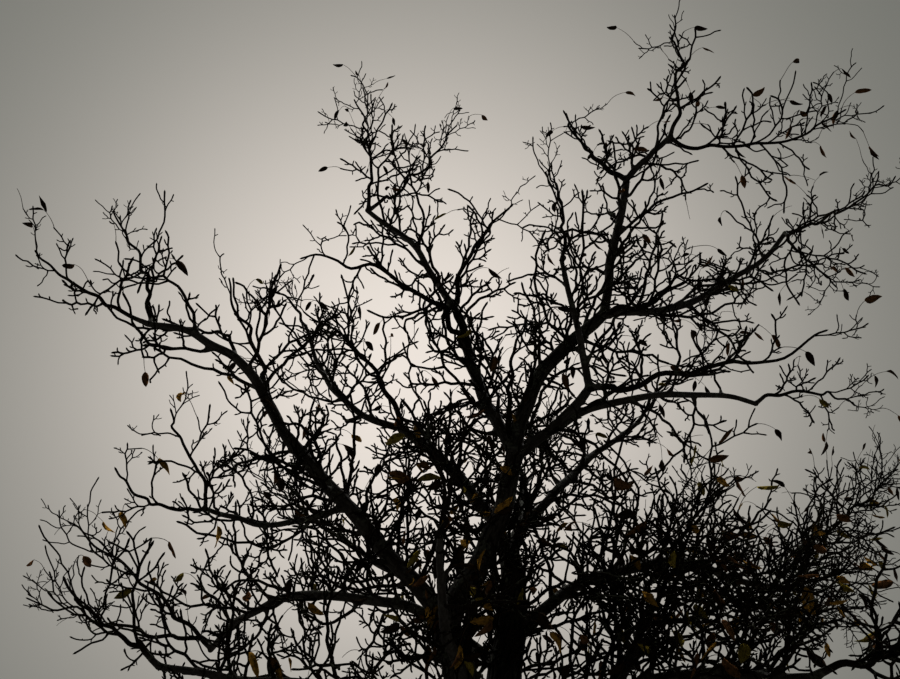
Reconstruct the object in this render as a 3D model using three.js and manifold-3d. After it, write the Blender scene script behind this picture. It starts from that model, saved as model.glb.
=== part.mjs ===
// A bare winter tree, rooted in level ground: a short leaning trunk that forks low into two stems,
// crooked tapering boughs, and open masses of stout, kinked twigs at their ends.
// Millimetres, +Z up. The origin is the middle of the flat cut at ground level, +X is to the right
// and +Y is away, seen from where one looks up at the tree.

import * as THREE from 'three';
import Module from 'manifold-3d';

const wasm = await Module();
wasm.setup();

// Every limb is an arc. It is aimed by a heading, in degrees from +X towards +Y, and a rise above
// the level, and over its length it bends by so many degrees of heading and of rise.
// thick is its diameter at its foot and at its end.
const TRUNK = { aim: [100, 86], bend: [0, 3], long: 1650, thick: [400, 310] };

// The trunk's foot and fork
const TRUNK_SIDES = 18;
const TRUNK_RINGS = 9;
const RING_CROWDING = 1.6;
const FLARE = 105;
const FLARE_HEIGHT = 230;
const ROOT_RIDGES = 5;
const RIDGE_HEADING = -12;
const RIDGE_DEPTH = 32;
const RIDGE_HEIGHT = 420;
const FORK_WIDENING = 0.3;
const FORK_ONSET = 3;
const FORK_HEADING = 18;

// The trunk's top, domed in rings of a scale and a rise
const FORK_DOME = [[0.8, 50], [0.45, 80]];

// The stems, the leader in its four stretches, and the boughs. Each springs from the end of a limb
// above it in the list, or from its flank, at a share of its length.
const LIMBS = {
  stem_left: { from: 'trunk', aim: [235, 65], bend: [-30, 10], long: 1100, thick: [260, 200] },
  stem_right: { from: 'trunk', aim: [340, 75], bend: [110, 10], long: 1500, thick: [270, 200] },
  leader_low: { from: 'stem_left', aim: [355, 50], bend: [0, 30], long: 1250, thick: [156, 124] },
  leader_mid: { from: 'leader_low', aim: [20, 80], bend: [-15, -45], long: 1450, thick: [112, 92] },
  leader_high: { from: 'leader_mid', aim: [35, 80], bend: [-25, -5], long: 1300, thick: [76, 60] },
  leader_top: { from: 'leader_high', aim: [20, 50], bend: [-15, -5], long: 650, thick: [56, 44] },
  bough_left: { from: 'stem_left', aim: [190, 45], bend: [15, 0], long: 1700, thick: [124, 88] },
  bough_left_outer: { from: 'bough_left', aim: [210, 70], bend: [0, -80], long: 1250, thick: [84, 40] },
  bough_left_low: {
    from: 'bough_left', at: 0.58, aim: [205, -30], bend: [25, 40], long: 1100, thick: [48, 32],
  },
  bough_low_left: {
    from: 'stem_left', at: 0.9, aim: [160, 30], bend: [-30, -60], long: 2450, thick: [80, 48],
  },
  bough_mid_left: { from: 'stem_right', aim: [145, 65], bend: [15, -30], long: 1500, thick: [112, 72] },
  bough_mid_outer: { from: 'bough_mid_left', aim: [160, 20], bend: [-25, 55], long: 1600, thick: [60, 34] },
  bough_high: { from: 'leader_low', aim: [150, 55], bend: [-15, 20], long: 1000, thick: [96, 76] },
  bough_high_outer: { from: 'bough_high', aim: [155, 75], bend: [5, -35], long: 1750, thick: [68, 40] },
  bough_right: { from: 'leader_low', aim: [335, 20], bend: [-25, 20], long: 750, thick: [80, 64] },
  bough_right_up: { from: 'bough_right', aim: [240, 70], bend: [-45, 10], long: 950, thick: [56, 36] },
  bough_right_far: {
    from: 'bough_right', at: 0.45, aim: [10, 30], bend: [20, -35], long: 1850, thick: [60, 40],
  },
  bough_upper_right: { from: 'leader_mid', aim: [30, 10], bend: [-15, 40], long: 2250, thick: [68, 40] },
  bough_back_right: { from: 'stem_right', aim: [60, 45], bend: [-20, -15], long: 2550, thick: [84, 44] },
  bough_low_right: {
    from: 'stem_right', at: 0.62, aim: [30, 40], bend: [0, -55], long: 2700, thick: [92, 52],
  },
  bough_lowest_right: {
    from: 'stem_right', at: 0.12, aim: [345, 30], bend: [-30, -40], long: 2300, thick: [112, 72],
  },
  bough_rising: {
    from: 'bough_lowest_right', at: 0.4, aim: [335, 60], bend: [65, 5], long: 500, thick: [68, 56],
  },
  bough_lowest_left: {
    from: 'stem_left', at: 0.25, aim: [210, 15], bend: [15, -15], long: 2300, thick: [88, 44],
  },
  bough_back_left: {
    from: 'stem_right', at: 0.45, aim: [125, 35], bend: [15, -5], long: 2300, thick: [92, 44],
  },
  bough_back: {
    from: 'stem_right', at: 0.8, aim: [85, 45], bend: [-10, -15], long: 2300, thick: [92, 44],
  },
  bough_front: {
    from: 'stem_left', at: 0.55, aim: [260, 20], bend: [10, 0], long: 1700, thick: [88, 44],
  },
};

// The masses of bare twigs. Each grows round one stem from the end of its bough, and nothing in it
// is further than its reach from that stem.
const MASSES = {
  twigs_top: { from: 'leader_top', aim: [155, 105], bend: [120, -15], long: 1350, reach: 430 },
  twigs_top_right: { from: 'leader_top', aim: [325, -40], bend: [15, 65], long: 1500, reach: 560 },
  twigs_top_left: { from: 'leader_high', aim: [145, 35], bend: [30, 45], long: 950, reach: 390 },
  twigs_leader_mid: { from: 'leader_mid', aim: [310, -20], bend: [0, 50], long: 850, reach: 470 },
  twigs_high: { from: 'bough_high_outer', aim: [120, 100], bend: [55, -35], long: 1200, reach: 450 },
  twigs_high_inner: { from: 'bough_high_outer', aim: [45, 40], bend: [-20, 25], long: 1600, reach: 450 },
  twigs_centre_up: { from: 'bough_high', aim: [225, 55], bend: [150, -10], long: 1300, reach: 470 },
  twigs_high_side: { from: 'bough_high', aim: [235, 35], bend: [-35, -45], long: 1600, reach: 470 },
  twigs_left_tip: { from: 'bough_left_outer', aim: [195, 20], bend: [0, 20], long: 900, reach: 470 },
  twigs_left_up: { from: 'bough_left_outer', aim: [100, 65], bend: [85, -10], long: 1200, reach: 450 },
  twigs_left_inner: { from: 'bough_left', aim: [120, 55], bend: [50, 15], long: 1550, reach: 520 },
  twigs_left_low: { from: 'bough_left_low', aim: [210, -20], bend: [-25, 80], long: 650, reach: 340 },
  twigs_left_low_up: { from: 'bough_left_low', aim: [300, 20], bend: [-140, 55], long: 750, reach: 360 },
  twigs_low_left: { from: 'bough_low_left', aim: [155, 15], bend: [30, 0], long: 1750, reach: 500 },
  twigs_low_left_up: { from: 'bough_low_left', aim: [220, 40], bend: [-40, -5], long: 1550, reach: 470 },
  twigs_lowest_left: { from: 'bough_lowest_left', aim: [210, 35], bend: [10, -5], long: 600, reach: 500 },
  twigs_mid_outer: { from: 'bough_mid_outer', aim: [140, 70], bend: [25, -60], long: 850, reach: 450 },
  twigs_mid_side: { from: 'bough_mid_left', aim: [230, 65], bend: [-35, -45], long: 1250, reach: 500 },
  twigs_right_up: { from: 'bough_right_up', aim: [320, 75], bend: [70, 40], long: 750, reach: 400 },
  twigs_right_mid: { from: 'bough_right', aim: [320, -15], bend: [20, 35], long: 1650, reach: 520 },
  twigs_upper_right: { from: 'bough_upper_right', aim: [20, 25], bend: [-25, 10], long: 1350, reach: 470 },
  twigs_upper_right_down: { from: 'bough_upper_right', aim: [270, -60], bend: [60, 5], long: 850, reach: 470 },
  twigs_right_far: { from: 'bough_right_far', aim: [5, 35], bend: [-20, -75], long: 800, reach: 450 },
  twigs_back_right: { from: 'bough_back_right', aim: [30, 55], bend: [5, -25], long: 1550, reach: 560 },
  twigs_low_right: { from: 'bough_low_right', aim: [35, 30], bend: [-30, 10], long: 1900, reach: 580 },
  twigs_low_right_inner: { from: 'bough_low_right', aim: [75, -20], bend: [-70, 35], long: 1400, reach: 560 },
  twigs_lowest_right: { from: 'bough_lowest_right', aim: [315, 15], bend: [50, -5], long: 1150, reach: 560 },
  twigs_rising_right: { from: 'bough_rising', aim: [25, 10], bend: [-15, 15], long: 1850, reach: 540 },
  twigs_rising_up: { from: 'bough_rising', aim: [305, 40], bend: [5, 25], long: 1000, reach: 520 },
  twigs_centre: { from: 'leader_low', aim: [225, 60], bend: [120, 10], long: 1000, reach: 450 },
  twigs_back_left: { from: 'bough_back_left', aim: [140, 30], bend: [0, 10], long: 1300, reach: 580 },
  twigs_back: { from: 'bough_back', aim: [75, 35], bend: [0, 5], long: 1300, reach: 580 },
  twigs_front: { from: 'bough_front', aim: [275, 30], bend: [10, 10], long: 900, reach: 500 },
};

// How limbs are made: the steps of an arc, how far its joints stray from it as a share of its
// length, the sides of its skin, and the swelling at its foot
const LIMB_STEPS = 6;
const LIMB_CROOK = 0.01;
const LIMB_SIDES = 7;
const COLLAR = 0.3;
const COLLAR_SHARE = 0.05;

// The stem of a mass: no thicker than a share of its bough's end, and no thicker than the most
const STEM_STEPS = 5;
const STEM_CROOK = 0.014;
const STEM_SIDES = 5;
const STEM_SHARE = 0.8;
const STEM_MOST = 24;
const STEM_TIP = 6;

// How shoots branch. They are spaced along what carries them, between a first and a last share of
// it, each turned on by the golden angle, and leave it at an angle. A shoot's length is a share of
// the mass's reach, or of its branch's length, and tapers off towards the end of its carrier.
// Each keeps its place in the row but for a swing, in shares of the spacing, and a joint of it is
// kinked by KINK and turned up by UPTURN, in shares of a step.
const LEAST_SHOOTS = 2;
const PLACE_SWING = 0.4;
const GOLDEN_ANGLE = 137.5;
const BRANCH = {
  spacing: 105, first: 0.14, last: 0.98, turnSwing: 30, angle: 52, angleSwing: 14,
  length: 0.98, taper: 0.5, least: 0.72, steps: 2, thick: 0.6, most: 11, tip: 6,
};
const TWIG = {
  spacing: 88, first: 0.22, last: 0.9, turnSwing: 30, angle: 46, angleSwing: 14,
  length: 0.52, taper: 0.5, least: 0.6, steps: 1, thick: 0.6, most: 5, tip: 4,
};
const KINK = 0.34;
const UPTURN = 0.55;
const SHOOT_SIDES = 3;

// Clear distances: between two pieces that meet, round a shoot from other masses and from limbs,
// between two shoots of a mass, and round a shoot's foot on its facet. A shoot is clear of its own
// carrier from a share of its first step on. A foot in the end of a limb is sunk in it by a share
// of that end's radius.
const GAP = 0.4;
const SPACE_CLEAR = 7;
const SHOOT_CLEAR = 3;
const FOOT_CLEAR = 0.5;
const CLEAR_FROM = 0.8;
const SUNK = 0.7;

// A route rising more steeply than this has its first ring turned to the side, and not upwards
const UPRIGHT = 0.9;

// The finishes
const BARK = { color: 0x4a423a, roughness: 0.95, metalness: 0 };
const TWIG_BARK = { color: 0x3b332c, roughness: 0.9, metalness: 0 };

const UP = new THREE.Vector3(0, 0, 1);
const ACROSS = new THREE.Vector3(1, 0, 0);

// Dice that always fall the same way for the same seed. Seeds are folded out of a name's letters,
// and out of a carrier's seed and a shoot's place on it.
const DICE_PRIME = 2147483647;
const DICE_FACTOR = 48271;
const NAME_FOLD = { start: 7, factor: 31 };
const SHOOT_FOLD = { start: 17, factor: 131, place: 7919 };

class Dice {
  constructor(seed) {
    this.state = (seed % (DICE_PRIME - 1)) + 1;
    this.roll();
    this.roll();
  }

  roll() {
    this.state = (this.state * DICE_FACTOR) % DICE_PRIME;
    return this.state / DICE_PRIME;
  }

  swing() {
    return 2 * this.roll() - 1;
  }

  swingVector() {
    return new THREE.Vector3(this.swing(), this.swing(), this.swing());
  }
}

function seedOfName(name) {
  const { start, factor } = NAME_FOLD;
  return [...name].reduce((seed, letter) => (seed * factor + letter.charCodeAt(0)) % DICE_PRIME, start);
}

function seedOfShoot(seed, index) {
  const { start, factor, place } = SHOOT_FOLD;
  return (seed * factor + index * place + start) % DICE_PRIME;
}

function aimVector(heading, rise) {
  const turned = THREE.MathUtils.degToRad(heading);
  const lifted = THREE.MathUtils.degToRad(rise);
  const level = Math.cos(lifted);
  return new THREE.Vector3(level * Math.cos(turned), level * Math.sin(turned), Math.sin(lifted));
}

// An arc in equal steps, whose joints stray a little: the crook of a limb
function arcRoute(name, size, start, steps, crook) {
  const dice = new Dice(seedOfName(name));
  const route = [start.clone()];
  for (let i = 0; i < steps; i += 1) {
    const share = (i + 0.5) / steps;
    const step = aimVector(size.aim[0] + size.bend[0] * share, size.aim[1] + size.bend[1] * share);
    route.push(route[i].clone().addScaledVector(step, size.long / steps));
  }
  for (let i = 1; i < steps; i += 1) {
    route[i].addScaledVector(dice.swingVector(), crook * size.long);
  }
  return route;
}

// A shoot's route: at each joint it is kinked at random and turns up a little
function shootRoute(start, direction, length, steps, dice) {
  const route = [start.clone()];
  const heading = direction.clone();
  for (let i = 0; i < steps; i += 1) {
    route.push(route[i].clone().addScaledVector(heading, length / steps));
    heading.addScaledVector(dice.swingVector(), KINK);
    heading.addScaledVector(UP, UPTURN / steps).normalize();
  }
  return route;
}

// Places on a route, by a share of its steps
function stretchAt(route, share) {
  return Math.min(Math.floor(share * (route.length - 1)), route.length - 2);
}

function pointAt(route, share) {
  const i = stretchAt(route, share);
  return route[i].clone().lerp(route[i + 1], share * (route.length - 1) - i);
}

function directionAt(route, share) {
  const i = stretchAt(route, share);
  return route[i + 1].clone().sub(route[i]).normalize();
}

function lengthOf(route) {
  return route.slice(1).reduce((sum, point, i) => sum + point.distanceTo(route[i]), 0);
}

// The nearest place on a route to a point: how far off it is, and at which share of the route
function nearestOn(route, point) {
  let nearest = { distance: Infinity, share: 0 };
  for (let i = 0; i + 1 < route.length; i += 1) {
    const along = route[i + 1].clone().sub(route[i]);
    const part = THREE.MathUtils.clamp(point.clone().sub(route[i]).dot(along) / along.lengthSq(), 0, 1);
    const distance = route[i].clone().addScaledVector(along, part).distanceTo(point);
    if (distance < nearest.distance) {
      nearest = { distance, share: (i + part) / (route.length - 1) };
    }
  }
  return nearest;
}

// A ring of points round a centre, or one point where the radius is nothing
function ringAt(centre, side, other, radius, sides) {
  return Array.from({ length: radius === 0 ? 1 : sides }, (_, k) => {
    const angle = (2 * Math.PI * k) / sides;
    return centre.clone()
      .addScaledVector(side, radius * Math.cos(angle))
      .addScaledVector(other, radius * Math.sin(angle));
  });
}

// Rings that stand square to a route at its joints, none turned against the one before it.
// The first is turned towards the guide.
function ringsAlong(route, radii, sides, guide) {
  const last = route.length - 1;
  let side = guide;
  return route.map((centre, i) => {
    const along = route[Math.min(i + 1, last)].clone().sub(route[Math.max(i - 1, 0)]).normalize();
    const before = side ?? (Math.abs(along.z) < UPRIGHT ? UP : ACROSS);
    side = before.clone().addScaledVector(along, -before.dot(along)).normalize();
    return ringAt(centre, side, along.clone().cross(side), radii[i], sides);
  });
}

// The corners of facet k between two rings, or between a ring and a point
function cornersOf(near, far, k) {
  const after = (k + 1) % near.length;
  return far.length === 1 ? [near[k], near[after], far[0]] : [near[k], near[after], far[after], far[k]];
}

// A facet of a carrier's skin as a plane: its corners, its middle, the way out of it, and the ways
// along and across it, by which a point is laid flat
function facetOf(carrier, stretch, index) {
  const corners = cornersOf(carrier.rings[stretch], carrier.rings[stretch + 1], index);
  const [a, b, c, d = a] = corners;
  const out = c.clone().sub(a).cross(d.clone().sub(b)).normalize();
  const middle = corners.reduce((sum, corner) => sum.add(corner), new THREE.Vector3());
  middle.divideScalar(corners.length);
  const along = directionAt(carrier.route, (stretch + 0.5) / (carrier.route.length - 1));
  along.addScaledVector(out, -along.dot(out)).normalize();
  const across = out.clone().cross(along);
  const flatten = (point) => {
    const offset = point.clone().sub(middle);
    return new THREE.Vector2(offset.dot(along), offset.dot(across));
  };
  return { stretch, index, corners, out, middle, across, flatten };
}

// A shoot's foot: its three-cornered section at its start, centred between its highest corner and
// its opposite side, and carried on to where it comes out through the facet
function footOn(facet, start, direction, radius) {
  const side = facet.across.clone().addScaledVector(direction, -facet.across.dot(direction)).normalize();
  const centre = start.clone().addScaledVector(side, -radius / 4);
  return ringAt(centre, side, direction.clone().cross(side), radius, SHOOT_SIDES).map((point) => {
    const depth = facet.middle.clone().sub(point).dot(facet.out) / direction.dot(facet.out);
    return point.addScaledVector(direction, depth);
  });
}

function fitsFacet(facet, foot) {
  const corners = facet.corners.map(facet.flatten);
  return foot.map(facet.flatten).every((point) => corners.every((corner, k) => {
    const edge = corners[(k + 1) % corners.length].clone().sub(corner);
    return edge.cross(point.clone().sub(corner)) > FOOT_CLEAR * edge.length();
  }));
}

// A closed skin of triangles, put together from rings and facets
class Skin {
  constructor() {
    this.points = [];
    this.triangles = [];
  }

  addRing(ring) {
    return ring.map((point) => this.points.push(point) - 1);
  }

  addFacet(corners) {
    for (let k = 1; k + 1 < corners.length; k += 1) {
      this.triangles.push(corners[0], corners[k], corners[k + 1]);
    }
  }

  // A facet with the feet of shoots set in it: its triangles go round them
  addFacetRound(corners, feet, flatten) {
    const flat = (index) => flatten(this.points[index]);
    const all = [...corners, ...feet.flat()];
    const faces = THREE.ShapeUtils.triangulateShape(corners.map(flat), feet.map((foot) => foot.map(flat)));
    faces.forEach((face) => {
      const [a, b, c] = face.map((k) => all[k]);
      const turned = THREE.ShapeUtils.isClockWise([flat(a), flat(b), flat(c)]);
      this.triangles.push(a, ...(turned ? [c, b] : [b, c]));
    });
  }

  toSolid() {
    return new wasm.Manifold(new wasm.Mesh({
      numProp: 3,
      vertProperties: new Float32Array(this.points.flatMap((point) => point.toArray())),
      triVerts: new Uint32Array(this.triangles),
    }));
  }
}

// A tapering solid over rings, with a flat cut at its foot and a flat cut or a point at its end
function solidOfRings(rings) {
  const skin = new Skin();
  const placed = rings.map((ring) => skin.addRing(ring));
  placed.slice(1).forEach((far, i) => {
    placed[i].forEach((_, k) => skin.addFacet(cornersOf(placed[i], far, k)));
  });
  skin.addFacet(placed[0].toReversed());
  skin.addFacet(placed[placed.length - 1]);
  return skin.toSolid();
}

// A stem or shoot with every shoot on it, its foot ring being in the skin already
function drawGrowth(skin, body, foot) {
  const placed = [foot, ...body.rings.slice(1).map((ring) => skin.addRing(ring))];
  placed.slice(1).forEach((far, stretch) => {
    placed[stretch].forEach((_, k) => {
      const here = body.shoots.filter((shoot) => shoot.facet.stretch === stretch && shoot.facet.index === k);
      const feet = here.map((shoot) => skin.addRing(shoot.rings[0]));
      const corners = cornersOf(placed[stretch], far, k);
      if (here.length === 0) {
        skin.addFacet(corners);
      } else {
        skin.addFacetRound(corners, feet, here[0].facet.flatten);
      }
      here.forEach((shoot, i) => drawGrowth(skin, shoot, feet[i]));
    });
  });
  skin.addFacet(placed[placed.length - 1]);
}

// The trunk's radius at a height and heading: an even taper, root ridges that run out in the flare
// at the ground, and a widening where the two stems part
function trunkRadius(height, share, heading) {
  const [foot, end] = TRUNK.thick;
  const even = (foot + (end - foot) * share) / 2;
  const flare = FLARE * Math.exp(-height / FLARE_HEIGHT);
  const ridged = Math.cos(ROOT_RIDGES * (heading - THREE.MathUtils.degToRad(RIDGE_HEADING)));
  const ridge = RIDGE_DEPTH * Math.exp(-height / RIDGE_HEIGHT) * ridged;
  const across = Math.cos(heading - THREE.MathUtils.degToRad(FORK_HEADING)) ** 2;
  return even * (1 + FORK_WIDENING * across * share ** FORK_ONSET) + flare + ridge;
}

function trunkRing(centre, share, scale, grown) {
  return Array.from({ length: TRUNK_SIDES }, (_, k) => {
    const heading = (2 * Math.PI * k) / TRUNK_SIDES;
    const radius = scale * trunkRadius(centre.z, share, heading) + grown;
    return centre.clone().add(new THREE.Vector3(radius * Math.cos(heading), radius * Math.sin(heading), 0));
  });
}

function trunkSolid(trunk, grown) {
  const rings = Array.from({ length: TRUNK_RINGS }, (_, i) => {
    const share = (i / (TRUNK_RINGS - 1)) ** RING_CROWDING;
    return trunkRing(pointAt(trunk.route, share), share, 1, grown);
  });
  const end = trunk.route[trunk.route.length - 1];
  FORK_DOME.forEach(([scale, rise]) => {
    rings.push(trunkRing(end.clone().addScaledVector(UP, rise + grown), 1, scale, grown));
  });
  return solidOfRings(rings);
}

// A limb, or the same limb grown by a gap, which cuts its neighbours clear of it
function limbSolid(limb, grown) {
  const shares = [0, COLLAR_SHARE];
  for (let i = 1; i <= LIMB_STEPS; i += 1) {
    shares.push(i / LIMB_STEPS);
  }
  const route = shares.map((share) => pointAt(limb.route, share));
  route[route.length - 1].addScaledVector(directionAt(limb.route, 1), grown);
  return solidOfRings(ringsAlong(route, shares.map((share) => limb.radiusAt(share) + grown), LIMB_SIDES));
}

function stemSolid(mass, grown) {
  const radii = mass.route.map((_, i) => mass.radiusAt(i / STEM_STEPS) + grown);
  return solidOfRings(ringsAlong(mass.route, radii, STEM_SIDES));
}

// A limb that springs from the end of another has its foot sunk in it; one that springs from a
// flank starts at the middle of its carrier
function sinkFoot(route, carrier) {
  route[0].addScaledVector(directionAt(carrier.route, 1), -SUNK * carrier.radiusAt(1));
}

function growLimb(name, size, carrier) {
  const at = size.at ?? 1;
  const start = carrier ? pointAt(carrier.route, at) : new THREE.Vector3();
  const route = arcRoute(name, size, start, LIMB_STEPS, LIMB_CROOK);
  if (carrier && at === 1) {
    sinkFoot(route, carrier);
  }
  const [foot, end] = size.thick;
  const collar = at === 1 ? 0 : COLLAR;
  const swelling = (share) => 1 + collar * Math.max(0, 1 - share / (2 * COLLAR_SHARE));
  return { name, route, radiusAt: (share) => (swelling(share) * (foot + (end - foot) * share)) / 2 };
}

function growStem(name, size, carrier) {
  const route = arcRoute(name, size, pointAt(carrier.route, 1), STEM_STEPS, STEM_CROOK);
  sinkFoot(route, carrier);
  const foot = Math.min(STEM_SHARE * carrier.radiusAt(1), STEM_MOST);
  const radiusAt = (share) => foot + (STEM_TIP - foot) * share;
  const rings = ringsAlong(route, route.map((_, i) => radiusAt(i / STEM_STEPS)), STEM_SIDES);
  return { name, size, seed: seedOfName(name), route, rings, radiusAt, shoots: [] };
}

// A shoot tapers evenly, and its last step runs out to a point
function shootTaper(foot, tip, steps) {
  const lastJoint = (steps - 1) / steps;
  const even = (share) => foot + (tip - foot) * share;
  return (share) => (share > lastJoint ? (even(lastJoint) * (1 - share)) / (1 - lastJoint) : even(share));
}

// One shoot, by dice of its own: it comes out through the middle of a facet of its carrier
function growShoot(carrier, rule, index, count, longest) {
  const seed = seedOfShoot(carrier.seed, index);
  const dice = new Dice(seed);
  const place = (index + 0.5 + PLACE_SWING * dice.swing()) / count;
  const share = rule.first + (rule.last - rule.first) * place;
  const turn = (index * GOLDEN_ANGLE + rule.turnSwing * dice.swing() + 360) % 360;
  const angle = THREE.MathUtils.degToRad(rule.angle + rule.angleSwing * dice.swing());
  const most = longest * rule.length * (1 - rule.taper * share);
  const long = most * (rule.least + (1 - rule.least) * dice.roll());
  const sides = carrier.rings[0].length;
  const facet = facetOf(carrier, stretchAt(carrier.route, share), Math.floor((turn * sides) / 360));
  const direction = directionAt(carrier.route, share).multiplyScalar(Math.cos(angle));
  direction.addScaledVector(facet.out, Math.sin(angle)).normalize();
  const route = shootRoute(pointAt(carrier.route, share), direction, long, rule.steps, dice);
  const foot = Math.min(rule.most, rule.thick * carrier.radiusAt(share));
  const radiusAt = shootTaper(foot, Math.min(rule.tip, foot), rule.steps);
  const radii = route.map((_, i) => radiusAt(i / rule.steps));
  const rings = ringsAlong(route, radii, SHOOT_SIDES, facet.across);
  rings[0] = footOn(facet, route[0], direction, foot);
  return { seed, carrier, facet, route, rings, radiusAt, long, shoots: [] };
}

function growShoots(carrier, rule, longest, mayGrow) {
  const room = lengthOf(carrier.route) * (rule.last - rule.first);
  const count = Math.max(LEAST_SHOOTS, Math.round(room / rule.spacing));
  for (let i = 0; i < count; i += 1) {
    const shoot = growShoot(carrier, rule, i, count, longest);
    if (fitsFacet(shoot.facet, shoot.rings[0]) && mayGrow(shoot)) {
      carrier.shoots.push(shoot);
    }
  }
}

// A shoot stays within its mass's reach, nearer to its stem than to any other, and off every limb
function keepsItsSpace(shoot, mass, masses, limbs) {
  const clear = shoot.radiusAt(0) + SPACE_CLEAR;
  const checks = shoot.route.slice(1).flatMap((point, i) => [point, point.clone().lerp(shoot.route[i], 0.5)]);
  return checks.every((point) => {
    const own = nearestOn(mass.route, point).distance;
    return own < mass.size.reach
      && masses.every((other) => other === mass || nearestOn(other.route, point).distance - own > 2 * clear)
      && limbs.every((limb) => {
        const near = nearestOn(limb.route, point);
        return near.distance > limb.radiusAt(near.share) + clear;
      });
  });
}

// A shoot that would touch another of its mass is skipped. Its foot is inside its carrier, so only
// its far part is held against that.
function keepsClear(shoot, other) {
  const from = other === shoot.carrier ? CLEAR_FROM : 0;
  const points = [pointAt(shoot.route, from / (shoot.route.length - 1)), ...shoot.route.slice(1)];
  return points.slice(1).every((end, i) => {
    const line = new THREE.Line3(points[i], end);
    return other.route.slice(1).every((otherEnd, k) => {
      const least = shoot.radiusAt(0) + other.radiusAt(k / (other.route.length - 1)) + SHOOT_CLEAR;
      return line.distanceSqToLine3(new THREE.Line3(other.route[k], otherEnd)) > least ** 2;
    });
  });
}

function growMass(mass, masses, limbs) {
  const grown = [mass];
  const mayGrow = (shoot) => {
    const may = keepsItsSpace(shoot, mass, masses, limbs) && grown.every((other) => keepsClear(shoot, other));
    if (may) {
      grown.push(shoot);
    }
    return may;
  };
  growShoots(mass, BRANCH, mass.size.reach, mayGrow);
  mass.shoots.forEach((branch) => {
    growShoots(branch, TWIG, branch.long, mayGrow);
  });
}

function massSolid(mass) {
  const skin = new Skin();
  const foot = skin.addRing(mass.rings[0]);
  skin.addFacet(foot.toReversed());
  drawGrowth(skin, mass, foot);
  return skin.toSolid();
}

function largestPiece(solid) {
  return solid.decompose().reduce((most, piece) => (piece.volume() > most.volume() ? piece : most));
}

function meshOf(name, solid, finish) {
  const { vertProperties, triVerts } = solid.getMesh();
  const geometry = new THREE.BufferGeometry();
  geometry.setAttribute('position', new THREE.BufferAttribute(vertProperties, 3));
  geometry.setIndex(new THREE.BufferAttribute(triVerts, 1));
  geometry.computeVertexNormals();
  const mesh = new THREE.Mesh(geometry, new THREE.MeshStandardMaterial(finish));
  mesh.name = name;
  return mesh;
}

const tree = new THREE.Group();
tree.name = 'bare_winter_tree';

// The trunk comes first, and each later piece is cut clear of what is already there
const trunk = growLimb('trunk', TRUNK);
const limbs = [trunk];
tree.add(meshOf(trunk.name, trunkSolid(trunk, 0), BARK));
let standing = trunkSolid(trunk, GAP);

for (const [name, size] of Object.entries(LIMBS)) {
  const limb = growLimb(name, size, limbs.find((other) => other.name === size.from));
  tree.add(meshOf(name, largestPiece(limbSolid(limb, 0).subtract(standing)), BARK));
  standing = standing.add(limbSolid(limb, GAP));
  limbs.push(limb);
}

const masses = Object.entries(MASSES).map(([name, size]) => (
  growStem(name, size, limbs.find((limb) => limb.name === size.from))
));

for (const mass of masses) {
  growMass(mass, masses, limbs);
  tree.add(meshOf(mass.name, largestPiece(massSolid(mass).subtract(standing)), TWIG_BARK));
  standing = standing.add(stemSolid(mass, GAP));
}

export default tree;
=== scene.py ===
# %% [markdown]
# # A bare winter tree
# The solids that come with this scene are plain: a trunk, tapering boughs and open masses of coarse twigs.
# Here they get the look of the real tree: furrowed bark that runs unbroken from the trunk into the boughs,
# a crown of stout, kinked twigs with spurs and buds, and the last withered leaves on their long stalks.
#
# Everything is in metres, +Z is up, and the origin is the middle of the flat cut under the trunk. The solids
# are loaded first and are never moved or changed. Each new piece is worked out beside them, from the same few
# sizes, and the solids that it replaces are hidden.

# %% Load the solids
import math
from itertools import product

import bmesh
import bpy
import numpy as np
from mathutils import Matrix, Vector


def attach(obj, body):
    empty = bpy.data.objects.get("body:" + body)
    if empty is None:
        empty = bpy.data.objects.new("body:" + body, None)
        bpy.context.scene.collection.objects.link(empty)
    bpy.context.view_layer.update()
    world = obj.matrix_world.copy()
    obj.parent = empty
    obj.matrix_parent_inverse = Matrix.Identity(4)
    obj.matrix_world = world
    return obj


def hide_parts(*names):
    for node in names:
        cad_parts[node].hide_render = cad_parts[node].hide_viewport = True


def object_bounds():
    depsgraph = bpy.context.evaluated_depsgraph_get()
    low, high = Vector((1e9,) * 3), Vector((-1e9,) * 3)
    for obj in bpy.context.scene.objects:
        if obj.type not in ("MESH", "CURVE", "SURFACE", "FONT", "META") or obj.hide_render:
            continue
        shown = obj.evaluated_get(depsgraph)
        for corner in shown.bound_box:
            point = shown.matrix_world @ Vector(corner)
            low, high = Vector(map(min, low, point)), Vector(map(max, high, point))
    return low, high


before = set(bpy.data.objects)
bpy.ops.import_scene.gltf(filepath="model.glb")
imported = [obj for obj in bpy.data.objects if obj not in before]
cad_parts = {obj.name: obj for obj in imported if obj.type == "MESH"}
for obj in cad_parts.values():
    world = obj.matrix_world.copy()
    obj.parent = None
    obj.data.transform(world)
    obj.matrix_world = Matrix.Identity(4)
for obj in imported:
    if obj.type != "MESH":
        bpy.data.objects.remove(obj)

solids_low, solids_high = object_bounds()
print(len(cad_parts), "solids, from", solids_low[:], "to", solids_high[:])

# %% [markdown]
# ## The sizes of the limbs
# A tree's limbs could be drawn point by point, but then every change means many points. It is easiest to
# steer when each limb is one arc, which needs only what it springs from, where it is aimed, how far it
# bends and how long and thick it is. The rows are the same as the solids' own, so bark and twigs that are
# worked out from them lie where the solids lie.

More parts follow.
